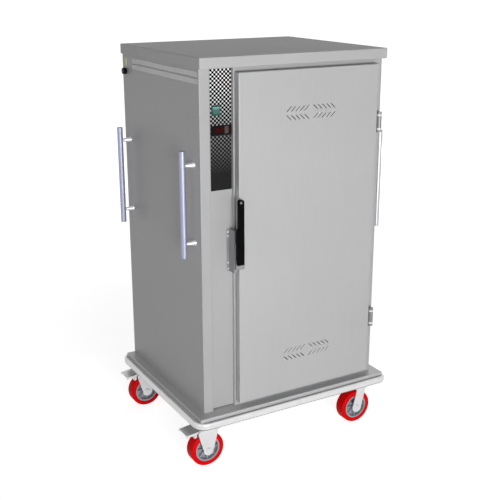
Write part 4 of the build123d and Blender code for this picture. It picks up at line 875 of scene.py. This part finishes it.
@dataclass
class ControlColumn(Assembly):
    """The chequered film, the rocker switch and the controller."""

    left: float = -307.0
    right: float = -231.3
    bottom: float = 976.5
    top: float = 1361.0
    columns: int = 11
    rows: int = 59
    thickness: float = 0.3
    switch_hole: tuple[float, float, float, float] = (-302.3, -271.7, 1217.7, 1248.3)
    controller_hole: tuple[float, float, float, float] = (-305.2, -231.6, 1154.2, 1185.8)
    window: tuple[float, float, float, float] = (-291.0, -261.0, 1163.0, 1179.5)
    controller_face: float = -293.0
    lamp_spot: tuple[float, float] = (-237.6, 1172.0)
    digits: int = 3

    def build_film(self) -> None:
        """Make the film with its openings and its printed chequers."""
        y0, y1 = FASCIA_FACE - self.thickness, FASCIA_FACE + 0.02
        holes = (self.switch_hole, self.controller_hole)
        xs = sorted({self.left, self.right, *(v for h in holes for v in h[:2])})
        zs = sorted({self.bottom, self.top, *(v for h in holes for v in h[2:])})
        bm = bmesh.new()
        for (x0, x1), (z0, z1) in product(zip(xs, xs[1:]), zip(zs, zs[1:])):
            x, z = (x0 + x1) / 2, (z0 + z1) / 2
            if not any(h[0] < x < h[1] and h[2] < z < h[3] for h in holes):
                corners = ((x0, z0), (x1, z0), (x1, z1), (x0, z1))
                bm.faces.new([bm.verts.new(place(a, y0, b)) for a, b in corners])
        bmesh.ops.remove_doubles(bm, verts=bm.verts, dist=1e-7)
        sides = bmesh.ops.extrude_face_region(bm, geom=bm.faces[:])
        moved = [item for item in sides["geom"] if isinstance(item, bmesh.types.BMVert)]
        bmesh.ops.translate(bm, verts=moved, vec=(0, (y1 - y0) * MM, 0))
        bmesh.ops.recalc_face_normals(bm, faces=bm.faces)
        piece = make_object("control_film", mesh_from(bm, "control_film"))
        corner = place(self.left, 0, self.top)
        width = (self.right - self.left) / self.columns * MM
        height = (self.top - self.bottom) / self.rows * MM
        fade = [(1.030, 34), (1.046, 60), (1.072, 84), (1.104, 112), (1.148, 140), (1.199, 182),
                (1.256, 222), (1.320, 250)]
        ground = [(1.02, 38), (1.16, 22), (1.32, 4)]
        film = PrintedFilm(corner.x, corner.z, width, height, 0.81, fade, ground)
        dress(piece, "cabinet", film.material("chequered_film"))

    def build_switch(self) -> None:
        """Round the edges of the switch's bezel and rocker."""
        self.fold(
            ("switch_bezel", "cabinet", "control_black", 0.0008, 0.0006, 0.02, "bezel_green"),
            ("switch_rocker", "switch_rocker", "button_green", 0.0008, 0.0005, 0.02))

    def build_controller(self) -> None:
        """Round the controller and give it a window, unlit digits and a small lamp."""
        self.fold(("controller_body", "cabinet", "control_black", 0.001, 0.0005, 0.03),
                  ("controller_key", "controller_key", "key_grey", 0.0009, 0.0006, 0.004))
        face = self.controller_face
        x0, x1, z0, z1 = self.window
        pane = soft_block("controller_window", place(x0, face - 0.25, z0),
                          place(x1, face + 0.1, z1), 0.0001)
        dress(pane, "cabinet", self.palette.get("window_dark_red"))
        self.build_digits(face - 0.3)
        profile = [(0, -0.0002), (0.0014, -0.0002), (0.0014, 0.0004), (0.001, 0.0009),
                   (0, 0.0011)]
        spot = place(self.lamp_spot[0], face, self.lamp_spot[1])
        lamp = turned_piece("controller_lamp", profile, 24, TO_FRONT, spot, 60.0)
        dress(lamp, "cabinet", self.palette.get("lamp_red"))

    def build_digits(self, face: float) -> None:
        """Set the bars of the unlit number display on the window.

        Args:
            face: Where the bars' front lies, from the cabinet's middle.
        """
        long, wide, deep = 5.4, 1.0, 0.12
        bm = bmesh.new()
        tip = wide / 2
        outline = [(-long / 2, 0), (-long / 2 + tip, tip), (long / 2 - tip, tip), (long / 2, 0),
                   (long / 2 - tip, -tip), (-long / 2 + tip, -tip)]
        add_prism(bm, *([(a * MM, y * MM, b * MM) for a, b in outline] for y in (0, deep)))
        bar = mesh_from(bm, "number_bar")
        x0, x1, z0, z1 = self.window
        step = (x1 - x0) / self.digits
        upright = Vector((0, math.pi / 2, 0))
        spots = []
        for index in range(self.digits):
            x, z, reach = x0 + step * (index + 0.5), (z0 + z1) / 2, long + 0.3
            for row in (-1, 0, 1):
                spots.append((place(x, face, z + row * reach), LEVEL))
            for side, row in product((-1, 1), (-0.5, 0.5)):
                spots.append((place(x + side * reach / 2, face, z + row * reach), upright))
        piece = COPIES.spread("number_bars", bar, spots, self.palette.get("bar_dim_red"))
        dress(piece, "cabinet")

    def build(self) -> None:
        """Make every piece of the control column."""
        self.build_film()
        self.build_switch()
        self.build_controller()


@dataclass
class Door(Assembly):
    """The door's folded skin with its vents, hinges and latch."""

    middle: float = 45.5
    inner: float = 17.0
    pitch: float = 17.2
    strokes: int = 5
    row_gap: float = 28.5
    centres: tuple[float, float] = (1209.8, 365.5)
    length: float = 23.5
    width: float = 2.6
    angle: float = 42.0
    depth: float = 5.0
    screw_x: float = -247.5
    screw_seat: float = -292.5
    screw_levels: tuple[float, ...] = (707.5, 728.5, 820.0, 833.5)

    def build_vents(self) -> None:
        """Line each slanted vent with short inward walls."""
        bm = bmesh.new()
        half, tall, wall = self.length / 2 * MM, self.width / 2 * MM, 0.0006
        y0, y1 = 0.0004, self.depth * MM
        bars = [((-half - wall, -tall - wall), (half + wall, -tall)),
                ((-half - wall, tall), (half + wall, tall + wall)),
                ((-half - wall, -tall), (-half, tall)), ((half, -tall), (half + wall, tall))]
        for (ax, az), (bx, bz) in bars:
            add_block(bm, Vector((ax, y0, az)), Vector((bx, y1, bz)))
        lining = mesh_from(bm, "vent_lining")
        spots = []
        for centre, side, row, index in product(self.centres, (-1, 1), (-1, 1),
                                                range(self.strokes)):
            x = self.middle + side * (self.inner + index * self.pitch)
            z = centre + row * self.row_gap / 2
            turn = Vector((0, math.radians(side * row * self.angle), 0))
            spots.append((place(x, DOOR_FACE, z), turn))
        piece = COPIES.spread("door_vent_linings", lining, spots, self.palette.get("vent_steel"))
        dress(piece, "door")

    def build_hardware(self) -> None:
        """Round the hinges, the latch and its keeper, and add the screws and the insert."""
        self.fold(("hinge_post_leaves", "cabinet", "hinge_steel", 0.0008, 0.0005, 0.03),
                  ("hinge_door_leaves", "door", "hinge_steel", 0.0008, 0.0005, 0.03),
                  ("hinge_pins", "cabinet", "hinge_steel", 0.0005, 0.0003),
                  ("hinge_washers", "cabinet", "washer_plastic", 0.0005, 0.0003),
                  ("latch_base", "door", "latch_metal", 0.002, 0.0008, 0.01),
                  ("latch_keeper", "cabinet", "latch_metal", 0.0016, 0.0006, 0.01),
                  ("latch_pin", "door", "latch_metal", 0.0005, 0.0003),
                  ("latch_lever", "latch_lever", "lever_black", 0.002, 0.0014, 0.01))
        self.build_keeper_screws()
        self.build_lever_insert()

    def build_keeper_screws(self) -> None:
        """Set the keeper's four domed screws, each with a cross recess."""
        bm = bmesh.new()
        profile = [(0, -0.008), (0.0019, -0.008), (0.0019, 0), (0.0034, 0), (0.0034, 0.0005),
                   (0.0029, 0.0011), (0.0019, 0.0014), (0, 0.0015)]
        add_turned(bm, profile, 28)
        for a, b in ((0.0016, 0.00035), (0.00035, 0.0016)):
            add_block(bm, Vector((-a, -b, 0.001)), Vector((a, b, 0.00155)))
        screw = mesh_from(bm, "keeper_screw")
        turn = Vector((math.pi / 2, 0, 0))
        spots = [(place(self.screw_x, self.screw_seat, z), turn) for z in self.screw_levels]
        piece = COPIES.spread("keeper_screw_heads", screw, spots, self.palette.get("screw_bright"))
        dress(piece, "cabinet", nodes=["keeper_screws"])

    def build_lever_insert(self) -> None:
        """Set the small pale insert into the face of the lever near its top."""
        low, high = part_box("latch_lever")
        wide, tall, face = 0.0072, 0.0078, low.y + 0.0015
        middle_x, top = (low.x + high.x) / 2 + 0.0006, high.z - 0.0046
        plate = soft_block("lever_insert",
                           Vector((middle_x - wide / 2, face - 0.0005, top - tall)),
                           Vector((middle_x + wide / 2, face + 0.0006, top)), 0.0004)
        dress(plate, "latch_lever", self.palette.get("lever_insert"))

    def build(self) -> None:
        """Make every piece of the door."""
        self.fold(("door_skin", "door", "stainless_sheet", 0.0024, 0.0004, 0.15, "steel_door"))
        self.build_vents()
        self.build_hardware()


@dataclass
class SideFittings(Assembly):
    """The push bars with their cones and the supply gland."""

    plug_depth: float = 0.8

    def build(self) -> None:
        """Smooth the bars, cones and gland."""
        for node, slot, finish in (("push_bars_left", "push_bar_aluminium", ""),
                                   ("push_bars_right", "push_bar_aluminium", "push_bar_plain"),
                                   ("push_bar_standoffs", "standoff_chrome", ""),
                                   ("power_gland", "control_black", "")):
            self.fold((node, "cabinet", slot, 0.0004, 0.0002, 0.15, finish))
        self.build_gland_plug()

    def build_gland_plug(self) -> None:
        """Close the gland's mouth with a small domed grey plug."""
        low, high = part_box("power_gland")
        spot = Vector((low.x, (low.y + high.y) / 2, (low.z + high.z) / 2))
        profile = [(0, -0.004), (0.00505, -0.004), (0.00505, -0.0012), (0.0046, -0.0003),
                   (0.003, 0.0002), (0, 0.0004)]
        spot -= TO_LEFT * self.plug_depth * MM
        piece = turned_piece("gland_plug", profile, 32, TO_LEFT, spot)
        dress(piece, "cabinet", self.palette.get("plug_grey"))


@dataclass
class Undercarriage(Assembly):
    """The bumper rail and the four castors."""

    corners: tuple[str, ...] = ("front_left", "front_right", "rear_left", "rear_right")
    castor_x: float = 317.0
    castor_y: tuple[float, float] = (-278.0, 246.0)
    bolt_x: float = 38.0
    bolt_y: float = 30.0
    bolt_z: float = 165.0

    def build_bumper(self) -> None:
        """Smooth the bumper rail and its corners."""
        self.fold(("bumper_strips", "cabinet", "bumper_grey", 0.0006, 0.0003),
                  ("bumper_corners", "cabinet", "bumper_grey", 0.0006, 0.0003))

    def build_bolts(self) -> None:
        """Set a chamfered hexagon bolt with its nut at each corner of each castor plate."""
        bm = bmesh.new()
        head = [(0, -0.0093), (0.0062, -0.0093), (0.0075, -0.0085), (0.0075, -0.004),
                (0, -0.004)]
        add_turned(bm, head, 6)
        shank = [(0, -0.004), (0.004, -0.004), (0.004, 0.0125), (0, 0.0125)]
        add_turned(bm, shank, 20)
        nut = [(0.004, 0.006), (0.0075, 0.006), (0.0075, 0.0118), (0.0062, 0.0125),
               (0.004, 0.0125)]
        add_turned(bm, nut, 6)
        bolt = mesh_from(bm, "castor_bolt")
        spots = [(place(x + a, y + b, self.bolt_z), LEVEL) for x, y, a, b in product(
            (-self.castor_x, self.castor_x), self.castor_y,
            (-self.bolt_x, self.bolt_x), (-self.bolt_y, self.bolt_y))]
        piece = COPIES.spread("castor_bolt_set", bolt, spots, self.palette.get("castor_zinc"))
        dress(piece, "cabinet", nodes=["castor_bolts"])

    def build_castors(self) -> None:
        """Round the plates, forks, axles, wheel centres, tyres and pedals."""
        rows = [("castor_plates", "cabinet", "castor_zinc", 0.0008, 0.0005, 0.05)]
        for corner in self.corners:
            swivel, wheel = "swivel_" + corner, "wheel_" + corner
            rows += [("fork_" + corner, swivel, "castor_zinc", 0.0012, 0.0008, 0.02),
                     ("axle_" + corner, swivel, "castor_zinc", 0.0006, 0.0005, 0.02),
                     ("wheel_centre_" + corner, wheel, "wheel_centre_metal", 0.0008, 0.0005),
                     ("tyre_" + corner, wheel, "red_tyre", 0.0008, 0.0005)]
        for pedal in ("brake_pedal_front_left", "brake_pedal_rear_left"):
            rows.append((pedal, pedal, "castor_zinc", 0.0012, 0.0006, 0.02))
        self.fold(*rows)

    def build(self) -> None:
        """Make every piece below the cabinet."""
        self.build_bumper()
        self.build_bolts()
        self.build_castors()


@dataclass
class CarriedSolids(Assembly):
    """The solids that stay as they are and only get a finish."""

    CHOICES = {
        "steel_side": ("air_baffle",),
        "liner_steel": ("inner_liner", "door_liner", "shelf_racks"),
        "shelf_wire": ("wire_shelves",),
        "chassis_steel": ("chassis_frame",),
        "insulation_wool": ("cabinet_insulation", "door_insulation"),
        "gasket_rubber": ("door_gasket",),
        "heater_steel": ("heating_element",),
        "motor_metal": ("fan_motor", "fan_impeller"),
    }

    def build(self) -> None:
        """Paint every solid that is still shown."""
        for finish, nodes in self.CHOICES.items():
            for node in nodes:
                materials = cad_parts[node].data.materials
                materials.clear()
                materials.append(self.palette.get(finish))
                log.info("%s keeps its solid with the finish %s", node, finish)


@dataclass
class Studio:
    """A pale floor that clears to white further out, a white backdrop, lamps and the camera."""

    floor_half: float = 30.0
    ambient: float = 0.12
    floor_lift: tuple[float, float] = (0.8, 1.0)
    floor_clear: tuple[float, float] = (1.0, 3.0)
    camera_spot: tuple[float, float, float] = (-1.5755, -2.7305, 1.6565)
    camera_turn: tuple[float, float, float] = (72.46, 0.0, -30.04)
    lens: float = 64.23

    @staticmethod
    def seen(kit: NodeKit) -> Signal:
        """Return 1 for camera, glossy and transmission rays and 0 for the rest."""
        camera = kit.add("ShaderNodeLightPath", output="Is Camera Ray")
        path = camera.socket.node
        glossy = Signal(kit, path.outputs["Is Glossy Ray"])
        through = Signal(kit, path.outputs["Is Transmission Ray"])
        return camera.or_more(glossy).or_more(through)

    def build_floor(self) -> None:
        """Lay the floor, which looks white and still takes the cart's shadow."""
        half = self.floor_half
        mesh = bpy.data.meshes.new("floor")
        mesh.from_pydata([(-half, -half, 0), (half, -half, 0), (half, half, 0), (-half, half, 0)],
                         [], [(0, 1, 2, 3)])
        floor = make_object("floor", mesh)
        material = bpy.data.materials.new("floor_paper")
        material.use_nodes = True
        kit = NodeKit(material.node_tree)
        paper = kit.noise(40.0, 3.0)
        plain = kit.add("ShaderNodeBsdfDiffuse", sockets={
            "Color": varied(kit, (0.8, 0.8, 0.8), paper, 0.01)})
        x, y, _ = kit.axes()
        near, far = self.floor_lift
        away = (x * x + y * y).between(*(reach ** 2 for reach in self.floor_clear))
        lift = kit.add("ShaderNodeEmission", sockets={
            "Color": (1, 1, 1, 1), "Strength": near + away * (far - near)})
        bright = kit.add("ShaderNodeAddShader", sockets={0: plain, 1: lift})
        kit.finish(kit.add("ShaderNodeMixShader", sockets={
            0: self.seen(kit), 1: plain, 2: bright}))
        mesh.materials.append(material)

    def build_world(self) -> None:
        """Light everything softly and show white behind it."""
        world = bpy.data.worlds.new("studio_air")
        bpy.context.scene.world = world
        world.use_nodes = True
        kit = NodeKit(world.node_tree)
        light = kit.add("ShaderNodeBackground", sockets={
            "Color": (1, 1, 1, 1), "Strength": self.ambient})
        white = kit.add("ShaderNodeBackground", sockets={"Color": (1, 1, 1, 1), "Strength": 1.0})
        kit.finish(kit.add("ShaderNodeMixShader", sockets={0: self.seen(kit), 1: light, 2: white}),
                   "ShaderNodeOutputWorld")

    def build_lamps(self) -> None:
        """Hang the soft rectangular lamps, each turned to face a point."""
        for name, spot, target, size, watts in (
                ("front_lamp", (-1.1, -4.4, 0.92), (0.1, -0.3, 0.92), (1.7, 0.9), 128.0),
                ("rear_lamp", (4.6, 3.6, 0.65), (0, 0, 0.7), (3.0, 1.2), 110.0),
                ("left_strip", (-4.2, -1.3, 0.85), (-0.4, -0.1, 0.85), (0.2, 1.0), 8.0)):
            data = bpy.data.lights.new(name, "AREA")
            data.shape = "RECTANGLE"
            data.size, data.size_y = size
            data.energy = watts
            lamp = make_object(name, data)
            lamp.location = spot
            lamp.rotation_mode = "QUATERNION"
            lamp.rotation_quaternion = (Vector(target) - Vector(spot)).to_track_quat("-Z", "Y")

    def build_camera(self) -> None:
        """Stand the camera where the picture was taken from."""
        data = bpy.data.cameras.new("camera")
        data.lens = self.lens
        data.sensor_width = 36.0
        camera = make_object("camera", data)
        camera.location = self.camera_spot
        camera.rotation_euler = [math.radians(a) for a in self.camera_turn]
        bpy.context.scene.camera = camera
        bpy.context.scene.view_settings.view_transform = "Standard"

    def build(self) -> None:
        """Set up the whole studio."""
        self.build_camera()
        self.build_floor()
        self.build_world()
        self.build_lamps()


def main() -> None:
    """Build the studio and the cart's pieces."""
    logging.basicConfig(level=logging.INFO, format="%(name)s: %(message)s")
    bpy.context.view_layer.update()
    palette = Palette()
    Studio().build()
    for part in (Cabinet, ControlColumn, Door, SideFittings, Undercarriage, CarriedSolids):
        part(palette).build()


if __name__ == "__main__":
    main()
